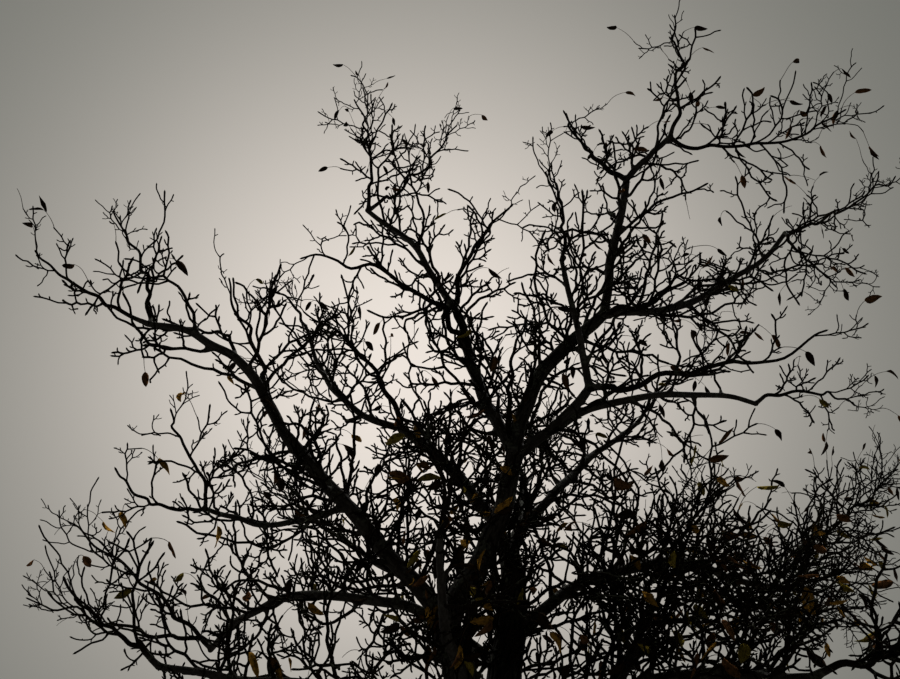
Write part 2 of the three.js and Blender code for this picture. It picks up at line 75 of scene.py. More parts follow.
# %% The sizes of the limbs
# Each row: carrier, share of the carrier where it leaves, aim, bend, length, thickness at foot and end. Aim
# and bend are a heading, in degrees from +X towards +Y, and a rise above the level.
LIMBS = {
    "trunk": (None, 1, (100, 86), (0, 3), 1.65, (0.400, 0.310)),
    "stem_left": ("trunk", 1, (235, 65), (-30, 10), 1.1, (0.260, 0.200)),
    "stem_right": ("trunk", 1, (340, 75), (110, 10), 1.5, (0.270, 0.200)),
    "leader_low": ("stem_left", 1, (355, 50), (0, 30), 1.25, (0.156, 0.124)),
    "leader_mid": ("leader_low", 1, (20, 80), (-15, -45), 1.45, (0.112, 0.092)),
    "leader_high": ("leader_mid", 1, (35, 80), (-25, -5), 1.3, (0.076, 0.060)),
    "leader_top": ("leader_high", 1, (20, 50), (-15, -5), 0.65, (0.056, 0.044)),
    "bough_left": ("stem_left", 1, (190, 45), (15, 0), 1.7, (0.124, 0.088)),
    "bough_left_outer": ("bough_left", 1, (210, 70), (0, -80), 1.25, (0.084, 0.040)),
    "bough_left_low": ("bough_left", 0.58, (205, -30), (25, 40), 1.1, (0.048, 0.032)),
    "bough_low_left": ("stem_left", 0.9, (160, 30), (-30, -60), 2.45, (0.080, 0.048)),
    "bough_mid_left": ("stem_right", 1, (145, 65), (15, -30), 1.5, (0.112, 0.072)),
    "bough_mid_outer": ("bough_mid_left", 1, (160, 20), (-25, 55), 1.6, (0.060, 0.034)),
    "bough_high": ("leader_low", 1, (150, 55), (-15, 20), 1.0, (0.096, 0.076)),
    "bough_high_outer": ("bough_high", 1, (155, 75), (5, -35), 1.75, (0.068, 0.040)),
    "bough_right": ("leader_low", 1, (335, 20), (-25, 20), 0.75, (0.080, 0.064)),
    "bough_right_up": ("bough_right", 1, (240, 70), (-45, 10), 0.95, (0.056, 0.036)),
    "bough_right_far": ("bough_right", 0.45, (10, 30), (20, -35), 1.85, (0.060, 0.040)),
    "bough_upper_right": ("leader_mid", 1, (30, 10), (-15, 40), 2.25, (0.068, 0.040)),
    "bough_back_right": ("stem_right", 1, (60, 45), (-20, -15), 2.55, (0.084, 0.044)),
    "bough_low_right": ("stem_right", 0.62, (30, 40), (0, -55), 2.7, (0.092, 0.052)),
    "bough_lowest_right": ("stem_right", 0.12, (345, 30), (-30, -40), 2.3, (0.112, 0.072)),
    "bough_rising": ("bough_lowest_right", 0.4, (335, 60), (65, 5), 0.5, (0.068, 0.056)),
    "bough_lowest_left": ("stem_left", 0.25, (210, 15), (15, -15), 2.3, (0.088, 0.044)),
    "bough_back_left": ("stem_right", 0.45, (125, 35), (15, -5), 2.3, (0.092, 0.044)),
    "bough_back": ("stem_right", 0.8, (85, 45), (-10, -15), 2.3, (0.092, 0.044)),
    "bough_front": ("stem_left", 0.55, (260, 20), (10, 0), 1.7, (0.088, 0.044)),
}

# Each row: carrier, aim, bend and length of the mass's stem, and how far its twigs reach from that stem
MASSES = {
    "twigs_top": ("leader_top", (155, 105), (120, -15), 1.35, 0.43),
    "twigs_top_right": ("leader_top", (325, -40), (15, 65), 1.5, 0.56),
    "twigs_top_left": ("leader_high", (145, 35), (30, 45), 0.95, 0.39),
    "twigs_leader_mid": ("leader_mid", (310, -20), (0, 50), 0.85, 0.47),
    "twigs_high": ("bough_high_outer", (120, 100), (55, -35), 1.2, 0.45),
    "twigs_high_inner": ("bough_high_outer", (45, 40), (-20, 25), 1.6, 0.45),
    "twigs_centre_up": ("bough_high", (225, 55), (150, -10), 1.3, 0.47),
    "twigs_high_side": ("bough_high", (235, 35), (-35, -45), 1.6, 0.47),
    "twigs_left_tip": ("bough_left_outer", (195, 20), (0, 20), 0.9, 0.47),
    "twigs_left_up": ("bough_left_outer", (100, 65), (85, -10), 1.2, 0.45),
    "twigs_left_inner": ("bough_left", (120, 55), (50, 15), 1.55, 0.52),
    "twigs_left_low": ("bough_left_low", (210, -20), (-25, 80), 0.65, 0.34),
    "twigs_left_low_up": ("bough_left_low", (300, 20), (-140, 55), 0.75, 0.36),
    "twigs_low_left": ("bough_low_left", (155, 15), (30, 0), 1.75, 0.50),
    "twigs_low_left_up": ("bough_low_left", (220, 40), (-40, -5), 1.55, 0.47),
    "twigs_lowest_left": ("bough_lowest_left", (210, 35), (10, -5), 0.6, 0.50),
    "twigs_mid_outer": ("bough_mid_outer", (140, 70), (25, -60), 0.85, 0.45),
    "twigs_mid_side": ("bough_mid_left", (230, 65), (-35, -45), 1.25, 0.50),
    "twigs_right_up": ("bough_right_up", (320, 75), (70, 40), 0.75, 0.40),
    "twigs_right_mid": ("bough_right", (320, -15), (20, 35), 1.65, 0.52),
    "twigs_upper_right": ("bough_upper_right", (20, 25), (-25, 10), 1.35, 0.47),
    "twigs_upper_right_down": ("bough_upper_right", (270, -60), (60, 5), 0.85, 0.47),
    "twigs_right_far": ("bough_right_far", (5, 35), (-20, -75), 0.8, 0.45),
    "twigs_back_right": ("bough_back_right", (30, 55), (5, -25), 1.55, 0.56),
    "twigs_low_right": ("bough_low_right", (35, 30), (-30, 10), 1.9, 0.58),
    "twigs_low_right_inner": ("bough_low_right", (75, -20), (-70, 35), 1.4, 0.56),
    "twigs_lowest_right": ("bough_lowest_right", (315, 15), (50, -5), 1.15, 0.56),
    "twigs_rising_right": ("bough_rising", (25, 10), (-15, 15), 1.85, 0.54),
    "twigs_rising_up": ("bough_rising", (305, 40), (5, 25), 1.0, 0.52),
    "twigs_centre": ("leader_low", (225, 60), (120, 10), 1.0, 0.45),
    "twigs_back_left": ("bough_back_left", (140, 30), (0, 10), 1.3, 0.58),
    "twigs_back": ("bough_back", (75, 35), (0, 5), 1.3, 0.58),
    "twigs_front": ("bough_front", (275, 30), (10, 10), 0.9, 0.50),
}

# Steps of an arc, and how far its joints stray as a share of its length
LIMB_STEPS, LIMB_CROOK = 6, 0.01
STEM_STEPS, STEM_CROOK = 5, 0.014

# How much a limb is swollen where it leaves its carrier's side, and over what share of its length
COLLAR, COLLAR_SHARE = 0.3, 0.1

# The radius of a stem's foot, as a share of its carrier's end and at most, and of its tip
STEM_SHARE, STEM_MOST, STEM_TIP = 0.8, 0.024, 0.006

# How deep a foot sits in its carrier's end, as a share of that end's radius
SUNK = 0.7
print(len(LIMBS), "limbs and", len(MASSES), "masses")

# %% [markdown]
# ## Dice with a seed
# A plant needs chance, but the same chance at every run. These dice multiply a whole number by a factor and
# keep the rest of a division by a prime. Each shoot has dice of its own, seeded from its carrier and its
# place, so adding a twig in one place changes nothing anywhere else. They roll for a whole row of shoots at
# once.

# %% Dice with a seed
DICE_PRIME, DICE_FACTOR = 2147483647, 48271
NAME_START, NAME_FACTOR = 7, 31
SHOOT_START, SHOOT_FACTOR, INDEX_FACTOR = 17, 131, 7919


class Dice:
    """One die for each seed. A roll is the state over the prime, and the next state is state x factor mod
    prime. Neighbouring seeds begin alike, so the first two rolls are passed over."""

    def __init__(self, seeds):
        self.state = np.atleast_1d(np.asarray(seeds, np.int64)) % (DICE_PRIME - 1) + 1
        self.roll()
        self.roll()

    def roll(self):
        self.state = self.state * DICE_FACTOR % DICE_PRIME
        return self.state / DICE_PRIME

    def swing(self):
        return 2 * self.roll() - 1

    def swing_vector(self):
        return np.stack([self.swing(), self.swing(), self.swing()], axis=-1)


def seed_of_name(name):
    """Folds the letters into one whole number: the number so far x a factor + the letter, mod prime."""
    seed = NAME_START
    for letter in name:
        seed = (seed * NAME_FACTOR + ord(letter)) % DICE_PRIME
    return seed


def seed_of_shoot(seed, index):
    """Folds a carrier's seed and a place on it into the seed of what grows there."""
    return (seed * SHOOT_FACTOR + index * INDEX_FACTOR + SHOOT_START) % DICE_PRIME


print("a roll for the trunk:", Dice(seed_of_name("trunk")).roll())

# %% [markdown]
# ## Limbs as arcs
# An arc is a row of short straight steps. The aim turns evenly from the first step to the last, and then
# each joint strays a little, which gives the crook of a real limb. A limb at the end of its carrier has its
# foot sunk in it.

# %% Limbs as arcs
def unit(vectors):
    """Each vector over its own length."""
    return vectors / np.linalg.norm(vectors, axis=-1, keepdims=True)


def aim_vector(heading, rise):
    """The unit vector with a heading and a rise in degrees: level part cos(rise), upright part
    sin(rise)."""
    turned, lifted = np.radians(heading), np.radians(rise)
    level = np.cos(lifted)
    return np.stack([level * np.cos(turned), level * np.sin(turned), np.sin(lifted)], axis=-1)


def arc_route(name, start, aim, bend, length, steps, crook):
    """Joints of an arc: the running sum of equal steps whose aim turns by an even share of the bend."""
    shares = (np.arange(steps) + 0.5) / steps
    headings = aim_vector(aim[0] + bend[0] * shares, aim[1] + bend[1] * shares)
    route = start + np.vstack([np.zeros(3), np.cumsum(headings, axis=0) * length / steps])
    dice = Dice(seed_of_name(name))
    for joint in range(1, steps):
        route[joint] += crook * length * dice.swing_vector()[0]
    return route


def place_on(route, share):
    """The point at a share of a route's steps, and the way on from it."""
    step = min(int(share * (len(route) - 1)), len(route) - 2)
    way = route[step + 1] - route[step]
    return route[step] + way * (share * (len(route) - 1) - step), unit(way)


def sink_foot(route, carrier):
    """The foot goes back into the carrier's end by a share of that end's radius."""
    route[0] -= SUNK * carrier["thick"][1] / 2 * place_on(carrier["route"], 1)[1]


def grow_limb(name, limbs):
    """A limb's arc, from the ground or from its place on its carrier."""
    carrier_name, at, aim, bend, length, thick = LIMBS[name]
    carrier = limbs.get(carrier_name)
    start = place_on(carrier["route"], at)[0] if carrier else np.zeros(3)
    route = arc_route(name, start, aim, bend, length, LIMB_STEPS, LIMB_CROOK)
    if carrier and at == 1:
        sink_foot(route, carrier)
    return {"route": route, "thick": thick, "collar": 0 if at == 1 else COLLAR, "from": carrier_name}


def grow_stem(name, limbs):
    """The arc that runs through a mass of twigs, from its carrier's end."""
    carrier_name, aim, bend, length, reach = MASSES[name]
    carrier = limbs[carrier_name]
    start = place_on(carrier["route"], 1)[0]
    route = arc_route(name, start, aim, bend, length, STEM_STEPS, STEM_CROOK)
    sink_foot(route, carrier)
    foot = min(STEM_SHARE * carrier["thick"][1] / 2, STEM_MOST)
    thick = (2 * foot, 2 * STEM_TIP)
    return {"route": route, "thick": thick, "collar": 0, "reach": reach, "from": carrier_name}


limbs = {}
for name in LIMBS:
    limbs[name] = grow_limb(name, limbs)
stems = {name: grow_stem(name, limbs) for name in MASSES}
print("top of the leader:", limbs["leader_top"]["route"][-1].round(2))

# %% [markdown]
# ## From joints to a smooth line
# Straight steps show at the size of a bough, so each limb's line is drawn again as a spline through its
# joints. Added to it is a crook: at even knots the line strays a little, each time in another direction,
# and runs smoothly from knot to knot. It strays by nothing at both ends, so neither foot nor tip leaves its
# place. A twig mass's stem is more crooked than a bough.
#
# Where a limb ends in a fork, it has narrowed to what its two followers need. Gardeners know the rule: the
# cross-section of a stem is about the sum of the cross-sections of what it carries.

# %% From joints to a smooth line
LINE_JOINTS = 41

# How far the knots of a crook stray, as a share of the length, and how many knots there are
TRUNK_STRAY, LIMB_STRAY, LIMB_KNOTS = 0.004, 0.009, 9
STEM_STRAY, STEM_KNOTS = 0.024, 13

# The end's radius at a fork, against what it carries, and the share of the length from which it narrows to
# that
FORK_ROOM, FORK_FROM = 1.12, 0.62


def spline(route, joints):
    """A Catmull-Rom spline: between two joints, the cubic through both whose slopes there are half the way
    from the joint before to the joint after."""
    ends = np.vstack([2 * route[0] - route[1], route, 2 * route[-1] - route[-2]])
    place = np.linspace(0, len(route) - 1, joints)
    step = np.minimum(place.astype(int), len(route) - 2)
    t = (place - step)[:, None]
    before, here, there, after = (ends[step + k] for k in range(4))
    bent = 2 * before - 5 * here + 4 * there - after + t * (3 * (here - there) + after - before)
    return here + 0.5 * t * (there - before + t * bent)


def crook_of(name, length, stray, knots):
    """A spline through knots that stray at random, and not at all at both ends."""
    dice = Dice(seed_of_name(name + " crook"))
    strayed = np.array([dice.swing_vector()[0] for _ in range(knots)]) * stray * length
    strayed[[0, -1]] = 0
    return spline(strayed, LINE_JOINTS)


def carried_radius(name):
    """The radius whose circle has the area of all circles at the feet of what goes on from a limb's end."""
    feet = [limb["thick"][0] / 2 for limb in limbs.values() if limb["from"] == name and not limb["collar"]]
    feet += [stem["thick"][0] / 2 for stem in stems.values() if stem["from"] == name]
    return math.sqrt(sum(foot**2 for foot in feet))


def draw_line(name, limb, stray, knots):
    """Line is spline plus crook. Radius is an even taper x the collar's swelling x the narrowing at a
    fork."""
    shares = np.linspace(0, 1, LINE_JOINTS)
    length = np.linalg.norm(np.diff(limb["route"], axis=0), axis=1).sum()
    foot, end = limb["thick"]
    swelling = 1 + limb["collar"] * np.maximum(0, 1 - shares / COLLAR_SHARE)
    limb["line"] = spline(limb["route"], LINE_JOINTS) + crook_of(name, length, stray, knots)
    limb["radius"] = swelling * (foot + (end - foot) * shares) / 2
    carried = carried_radius(name)
    if carried:
        narrowed = min(1, FORK_ROOM * carried / (end / 2))
        limb["radius"] *= 1 - (1 - narrowed) * np.clip((shares - FORK_FROM) / (1 - FORK_FROM), 0, 1)
    limb["length"] = length
    limb["seed"] = seed_of_name(name)


for name, limb in limbs.items():
    draw_line(name, limb, TRUNK_STRAY if name == "trunk" else LIMB_STRAY, LIMB_KNOTS)
for name, stem in stems.items():
    draw_line(name, stem, STEM_STRAY, STEM_KNOTS)
print("limbs in all:", round(sum(limb["length"] for limb in limbs.values()), 1), "m")

# %% [markdown]
# ## Rings that don't spin
# Bough, twig, spur and leaf stalk are all one shape: a ring of points carried along a line. A curve with a
# bevel could draw it too, but it gives no hold for a pattern that follows the wood. The ring must not spin
# on its way, so each joint takes over the side of the joint before it and only makes it square to its own
# direction. All lines of a kind are worked out in one go, as one array of lines x joints x points of the
# ring.

# %% Rings that don't spin
# From this much of the whole, a direction counts as upright, and its first side is taken from +X
UPRIGHT = 0.9


def frames_along(lines):
    """Along is the way from the joint before to the joint after. Side is the last side less its part along,
    and other is along x side."""
    along = unit(np.gradient(lines, axis=1))
    steep = np.abs(along[:, 0, 2:]) >= UPRIGHT
    side = np.where(steep, [1.0, 0.0, 0.0], [0.0, 0.0, 1.0])
    sides = np.empty_like(along)
    for joint in range(lines.shape[1]):
        way = along[:, joint]
        side = unit(side - way * np.sum(side * way, axis=-1, keepdims=True))
        sides[:, joint] = side
    return along, sides, np.cross(along, sides)


def rings_round(lines, radii, count):
    """Ring point k lies at the radius x (cos angle x side + sin angle x other), with angle 2 pi k / count.
    The grain is the same point on a straight upright twig, which a pattern can follow without a seam."""
    _, side, other = frames_along(lines)
    angle = 2 * math.pi * np.arange(count) / count
    round_x = radii[..., None] * np.cos(angle)
    round_y = radii[..., None] * np.sin(angle)
    rings = lines[:, :, None] + round_x[..., None] * side[:, :, None] + round_y[..., None] * other[:, :, None]
    steps = np.linalg.norm(np.diff(lines, axis=1), axis=-1)
    run = np.concatenate([np.zeros((len(lines), 1)), np.cumsum(steps, axis=1)], axis=1)
    height = run + np.arange(len(lines))[:, None]
    grain = np.stack([round_x, round_y, np.broadcast_to(height[..., None], round_x.shape)], axis=-1)
    return rings, grain


sample_line = np.cumsum(np.ones((1, 5, 3)), axis=1)
_, sample_side, _ = frames_along(sample_line)
print("side on a straight line, first and last:", sample_side[0, 0].round(2), sample_side[0, -1].round(2))

# %% [markdown]
# ## The skin of a tube
# Rings become a skin when each is tied to the next by four-cornered faces. Both ends are closed with a fan
# of triangles round one pole, because an open end shows a hollow twig. A pole that stands out makes the tip
# of a bud.

# %% The skin of a tube
def skin_of(rings, grain, point=0):
    """Four-cornered faces between neighbouring rings, and a fan from a pole at the middle of each end ring.
    The last pole may stand out from its ring, by point x the ring's radius, which closes the tube with a
    tip."""
    lines, joints, count, _ = rings.shape
    number = np.arange(lines * joints * count).reshape(lines, joints, count)
    after = np.roll(number, -1, axis=2)
    walls = np.stack([number[:, :-1], after[:, :-1], after[:, 1:], number[:, 1:]], axis=-1).reshape(-1, 4)
    poles = number.size + np.arange(2 * lines).reshape(2, lines, 1)
    foot_pole = np.broadcast_to(poles[0], (lines, count))
    end_pole = np.broadcast_to(poles[1], (lines, count))
    fans = np.concatenate([
        np.stack([foot_pole, after[:, 0], number[:, 0]], axis=-1).reshape(-1, 3),
        np.stack([end_pole, number[:, -1], after[:, -1]], axis=-1).reshape(-1, 3),
    ])

    def with_poles(values, end):
        return np.concatenate([values.reshape(-1, 3), values[:, 0].mean(axis=1), end])

    end = rings[:, -1].mean(axis=1)
    if point:
        radius = np.linalg.norm(rings[:, -1, 0] - end, axis=1)[:, None]
        end = end + point * radius * unit(end - rings[:, -2].mean(axis=1))
    grain_end = grain[:, -1].mean(axis=1)
    points, grain = with_poles(rings, end), with_poles(grain, grain_end)
    return {"points": points, "walls": walls, "fans": fans, "grain": grain}


sample = skin_of(*rings_round(sample_line, np.ones((1, 5)), 6))
print("a tube of 5 joints and 6 sides:", len(sample["walls"]), "walls and", len(sample["fans"]), "end faces")

# %% [markdown]
# ## From skins to a mesh
# Thousands of twigs as thousands of objects would be slow and hard to handle, so skins of a kind are joined
# first. The arrays go into the mesh whole, with foreach_set. The grain goes along as an attribute of the
# points, so that a material can read how each bit of wood runs.

# %% From skins to a mesh
def joined(skins):
    """One skin of several: their points in a row, and their faces moved on by the points before them."""
    starts = np.cumsum([0] + [len(skin["points"]) for skin in skins[:-1]])
    return {
        "points": np.concatenate([skin["points"] for skin in skins]),
        "grain": np.concatenate([skin["grain"] for skin in skins]),
        "walls": np.concatenate([skin["walls"] + start for skin, start in zip(skins, starts)]),
        "fans": np.concatenate([skin["fans"] + start for skin, start in zip(skins, starts)]),
    }


def add_piece(name, skin):
    """A mesh object at the origin, with the grain as an attribute of its points."""
    mesh = bpy.data.meshes.new(name)
    corners = np.concatenate([skin["walls"].ravel(), skin["fans"].ravel()])
    sizes = np.concatenate([np.full(len(skin["walls"]), 4), np.full(len(skin["fans"]), 3)])
    mesh.vertices.add(len(skin["points"]))
    mesh.loops.add(len(corners))
    mesh.polygons.add(len(sizes))
    mesh.vertices.foreach_set("co", skin["points"].astype(np.float32).ravel())
    mesh.loops.foreach_set("vertex_index", corners.astype(np.int32))
    mesh.polygons.foreach_set("loop_start", (np.cumsum(sizes) - sizes).astype(np.int32))
    mesh.update(calc_edges=True)
    mesh.shade_smooth()
    keep_attribute(mesh, "grain", skin["grain"])
    piece = bpy.data.objects.new(name, mesh)
    bpy.context.scene.collection.objects.link(piece)
    return piece


def keep_attribute(mesh, name, values):
    """Numbers or vectors, one for each point, under a name that a material can read."""
    kind, field = ("FLOAT", "value") if values.ndim == 1 else ("FLOAT_VECTOR", "vector")
    mesh.attributes.new(name, kind, "POINT").data.foreach_set(field, values.astype(np.float32).ravel())


def triangles_of(piece):
    """A face of n corners makes n - 2 triangles."""
    mesh = piece.data
    return len(mesh.loops) - 2 * len(mesh.polygons)


print("two such tubes joined:", len(joined([sample, sample])["points"]), "points")

# %% [markdown]
# ## The sizes of shoots
# Branches, twigs, twiglets and spurs all grow by one rule, and only their sizes change. So each kind is one
# small table, in which a length is a share of what carries it. That keeps the proportions right when a
# bough is made longer.

# %% The sizes of shoots
# Length as a share of the carrier's, how far that falls towards its tip and the least share of it, the
# angle to the carrier and its swing, steps, thickness as a share of the carrier's, the most radius, the
# tip's radius, and the share of buds that grow into one
SIDE_BRANCH = dict(length=1.0, taper=0.3, least=0.35, angle=56, swing=16, steps=11, thick=0.45, most=0.0135,
                   tip=0.0075, chance=1.0)
SIDE_TWIG = dict(length=0.50, taper=0.25, least=0.4, angle=52, swing=14, steps=6, thick=0.75, most=0.0095,
                 tip=0.0068, chance=0.54)
BRANCH = dict(length=1.5, taper=0.3, least=0.5, angle=48, swing=16, steps=8, thick=0.62, most=0.0130,
              tip=0.0075, chance=1.0)
TWIG = dict(length=0.55, taper=0.25, least=0.45, angle=52, swing=14, steps=4, thick=0.75, most=0.0095,
            tip=0.0068, chance=0.54)
TWIGLET = dict(length=0.62, taper=0.2, least=0.4, angle=48, swing=14, steps=3, thick=0.80, most=0.0080,
               tip=0.0062, chance=0.26)
SPUR = dict(length=0.045, taper=0.2, least=0.4, angle=54, swing=18, steps=2, thick=0.8, most=0.0062,
            tip=0.0052, chance=0.36)
SIDE_RULES = (SIDE_BRANCH, SIDE_TWIG, TWIGLET)
MASS_RULES = (BRANCH, TWIG, TWIGLET)
print("steps from branch to twiglet:", [rule["steps"] for rule in SIDE_RULES])

# %% [markdown]
# ## How full each limb is
# Not every bough is equally full: old stems carry dense twigs, outer boughs let the sky through, and the
# low boughs on the right carry a thicket. A list of shares, one for each limb, sets that, and 1 stands for
# all that aren't in it.

# %% How full each limb is
# Metres between the branches, and the shares of the carrier's length where the first and the last one sit
SIDE_SPACING, SIDE_FIRST, SIDE_LAST = 0.112, 0.14, 0.90
STEM_SPACING, STEM_FIRST, STEM_LAST = 0.098, 0.20, 0.985

# The length that branches on a limb measure theirs by, and how far from the limb they may reach. In a mass,
# its reach is both.
SIDE_LONG, SIDE_REACH = 1.25, 1.7

# The branches in the thicket stand further out on their carriers, are longer, and rise less
BUSHY = ("bough_low_right", "bough_lowest_right", "bough_rising", "twigs_low_right", "twigs_low_right_inner",
         "twigs_lowest_right", "twigs_rising_right", "twigs_rising_up")
BUSHY_OUTWARD, BUSHY_LONG, BUSHY_UPTURN = 0.75, 1.15, 0.2

# How thickly a limb or stem is set with branches, where it isn't 1
FULLNESS = {
    "stem_left": 2.0, "stem_right": 3.0, "leader_low": 0.9, "bough_left": 1.9, "bough_left_outer": 0.75,
    "bough_left_low": 1.1, "bough_low_left": 1.2, "bough_mid_left": 1.9, "bough_mid_outer": 1.1,
    "bough_high": 1.8, "bough_high_outer": 0.7, "bough_right": 0.5, "bough_right_up": 1.2,
    "bough_right_far": 0.5, "bough_upper_right": 0.95, "bough_back_right": 0.9, "bough_low_right": 2.4,
    "bough_lowest_right": 2.2, "bough_rising": 4.0, "bough_lowest_left": 1.3, "bough_back_left": 0.7,
    "bough_back": 0.6, "bough_front": 0.5, "twigs_top": 0.8, "twigs_top_right": 1.3, "twigs_top_left": 0.5,
    "twigs_leader_mid": 1.3, "twigs_high": 1.4, "twigs_centre_up": 0.8, "twigs_high_side": 0.7,
    "twigs_left_tip": 0.8, "twigs_left_up": 0.7, "twigs_left_inner": 0.35, "twigs_left_low": 0.6,
    "twigs_left_low_up": 0.7, "twigs_low_left": 0.8, "twigs_lowest_left": 0.8, "twigs_mid_outer": 0.3,
    "twigs_mid_side": 0.9, "twigs_right_up": 0.8, "twigs_right_mid": 0.35, "twigs_upper_right": 0.7,
    "twigs_upper_right_down": 1.6, "twigs_right_far": 1.2, "twigs_back_right": 0.45, "twigs_low_right": 2.6,
    "twigs_low_right_inner": 3.2, "twigs_lowest_right": 5.0, "twigs_rising_right": 3.6,
    "twigs_rising_up": 2.5, "twigs_centre": 0.5, "twigs_back_left": 1.3, "twigs_back": 1.5,
    "twigs_front": 0.7,
}


def rows_of(table, names, long, reach):
    """The arrays that growth needs, one row for each line."""
    longs = [table[name].get("reach", long * (BUSHY_LONG if name in BUSHY else 1)) for name in names]
    return {
        "line": np.stack([table[name]["line"] for name in names]),
        "radius": np.stack([table[name]["radius"] for name in names]),
        "seed": np.array([table[name]["seed"] for name in names], np.int64),
        "long": np.array(longs),
        "reach": np.array([table[name].get("reach", reach) for name in names]),
        "bushy": np.isin(names, BUSHY),
        "full": np.array([FULLNESS.get(name, 1) for name in names]),
        "home": np.arange(len(names)),
    }


BRANCHED_LIMBS = [name for name in LIMBS if name != "trunk"]
limb_homes = rows_of(limbs, BRANCHED_LIMBS, SIDE_LONG, SIDE_REACH)
stem_homes = rows_of(stems, list(stems), 1, 1)
print("the fullest:", max(FULLNESS, key=FULLNESS.get), "with", max(FULLNESS.values()))

# %% [markdown]
# ## Buds
# A shoot starts from a bud. On a limb, each bud is turned on by the golden angle from the bud before, so
# that neighbours never shade each other. On a shoot, a bud sits at each knee, on its outer side. Every bud
# has a seed of its own, so a bud more or less on one limb changes nothing on any other.

# %% Buds
GOLDEN_ANGLE = 137.5
PLACE_SWING, TURN_SWING = 0.4, 30
LEAST_BUDS = 2


def limb_buds(rows, spacing, first, last):
    """Buds along limbs, at even shares of their length that stray a little, each turned on by the golden
    angle."""
    lengths = np.linalg.norm(np.diff(rows["line"], axis=1), axis=-1).sum(axis=1)
    counts = np.maximum(LEAST_BUDS, np.round(rows["full"] * lengths * (last - first) / spacing)).astype(int)
    owner = np.repeat(np.arange(len(counts)), counts)
    index = np.arange(counts.sum()) - np.repeat(np.cumsum(counts) - counts, counts)
    seed = seed_of_shoot(rows["seed"][owner], index)
    dice = Dice(seed)
    spread = (index + 0.5 + PLACE_SWING * dice.swing()) / counts[owner]
    share = first + (last - first) * spread ** np.where(rows["bushy"][owner], BUSHY_OUTWARD, 1)
    turn = np.radians(index * GOLDEN_ANGLE + TURN_SWING * dice.swing())[:, None]
    _, side, other = frames_along(rows["line"])
    place = share * (rows["line"].shape[1] - 1)
    joint = np.minimum(place.astype(int), rows["line"].shape[1] - 2)
    part = place - joint
    here, there = rows["line"][owner, joint], rows["line"][owner, joint + 1]
    radius = rows["radius"][owner, joint] * (1 - part) + rows["radius"][owner, joint + 1] * part
    out = np.cos(turn) * side[owner, joint] + np.sin(turn) * other[owner, joint]
    return {"owner": owner, "share": share, "seed": seed, "point": here + part[:, None] * (there - here),
            "along": unit(there - here), "out": out, "radius": radius}


def knee_buds(rows):
    """Buds at the inner joints of shoots, on the outer side of each knee."""
    shoots, joints, _ = rows["line"].shape
    owner = np.repeat(np.arange(shoots), joints - 2)
    joint = np.tile(np.arange(1, joints - 1), shoots)
    along = unit(np.gradient(rows["line"], axis=1))
    return {"owner": owner, "share": joint / (joints - 1), "seed": seed_of_shoot(rows["seed"][owner], joint),
            "point": rows["line"][owner, joint], "along": along[owner, joint],
            "out": rows["out"][owner, joint], "radius": rows["radius"][owner, joint]}


limb_bud_rows = limb_buds(limb_homes, SIDE_SPACING, SIDE_FIRST, SIDE_LAST)
stem_bud_rows = limb_buds(stem_homes, STEM_SPACING, STEM_FIRST, STEM_LAST)
print(len(limb_bud_rows["seed"]), "buds on the limbs and", len(stem_bud_rows["seed"]), "on the stems")

# %% [markdown]
# ## The line of a shoot
# A twig of this tree is no smooth arc. At each bud it bends a little the other way, as a twig does that has
# had to share its sap, so its line is a row of knees. It also curls slowly about one axis and turns up
# towards the light.

# %% The line of a shoot
STRETCH_SWING = 0.3
KNEE, KINK, CURL = 0.42, 0.14, 0.16


def shoot_lines(foot, heading, long, upturn, steps, dice):
    """After each step of nearly even length, the heading bends away from the bud there, by the knee, and
    takes a random kink, a turn about the shoot's own axis of curl and a share of the upturn. The bud's own
    way out is square to the heading, at the golden angle."""
    axis = dice.swing_vector()
    upright = np.abs(heading[:, 2:]) >= UPRIGHT
    side = np.where(upright, [1.0, 0.0, 0.0], [0.0, 0.0, 1.0])
    line, outs = [foot], [np.zeros_like(foot)]
    for step in range(steps):
        stretch = long / steps * (1 + STRETCH_SWING * dice.swing())
        line.append(line[-1] + heading * stretch[:, None])
        side = unit(side - heading * np.sum(side * heading, axis=1, keepdims=True))
        turn = np.radians(GOLDEN_ANGLE * (step + 1) + TURN_SWING * dice.swing())[:, None]
        out = np.cos(turn) * side + np.sin(turn) * np.cross(heading, side)
        outs.append(out)
        rise = upturn[:, None] / steps * np.array([0, 0, 1])
        kinked = heading - KNEE * out + KINK * dice.swing_vector()
        heading = unit(kinked + CURL * np.cross(axis, heading) + rise)
    return np.stack(line, axis=1), np.stack(outs, axis=1)


straight = shoot_lines(np.zeros((1, 3)), np.array([[1.0, 0, 0]]), np.ones(1), np.zeros(1), 6, Dice([1]))[0]
print("a shoot of 1 m ends", round(float(np.linalg.norm(straight[0, -1])), 2), "m from its foot")

# %% [markdown]
# ## Room to grow
# A shoot that runs into a limb, leaves the crown's space or curls up on itself looks wrong, so it doesn't
# grow. To save time, distances are measured to a line of few joints, and only to limbs close by.

# %% Room to grow
# Only every fourth joint of a line is measured to, and only from points this near to the line's own box
TEST_STEP, TEST_MARGIN = 4, 0.3
LIMB_CLEAR, BOX_CLEAR = 0.006, 0.006

# How far past its reach a shoot may stray, and how much of its length must lie between foot and tip
REACH_OVER, LEAST_STRAIGHT = 1.12, 0.62


def nearest_on_line(points, line):
    """For each point, the nearest place on a line: its distance, and its place in steps of the line."""
    best = np.full(len(points), np.inf)
    place = np.zeros(len(points))
    for step in range(len(line) - 1):
        way = line[step + 1] - line[step]
        part = np.clip((points - line[step]) @ way / (way @ way), 0, 1)
        distance = np.linalg.norm(points - line[step] - part[:, None] * way, axis=1)
        closer = distance < best
        best[closer] = distance[closer]
        place[closer] = step + part[closer]
    return best, place


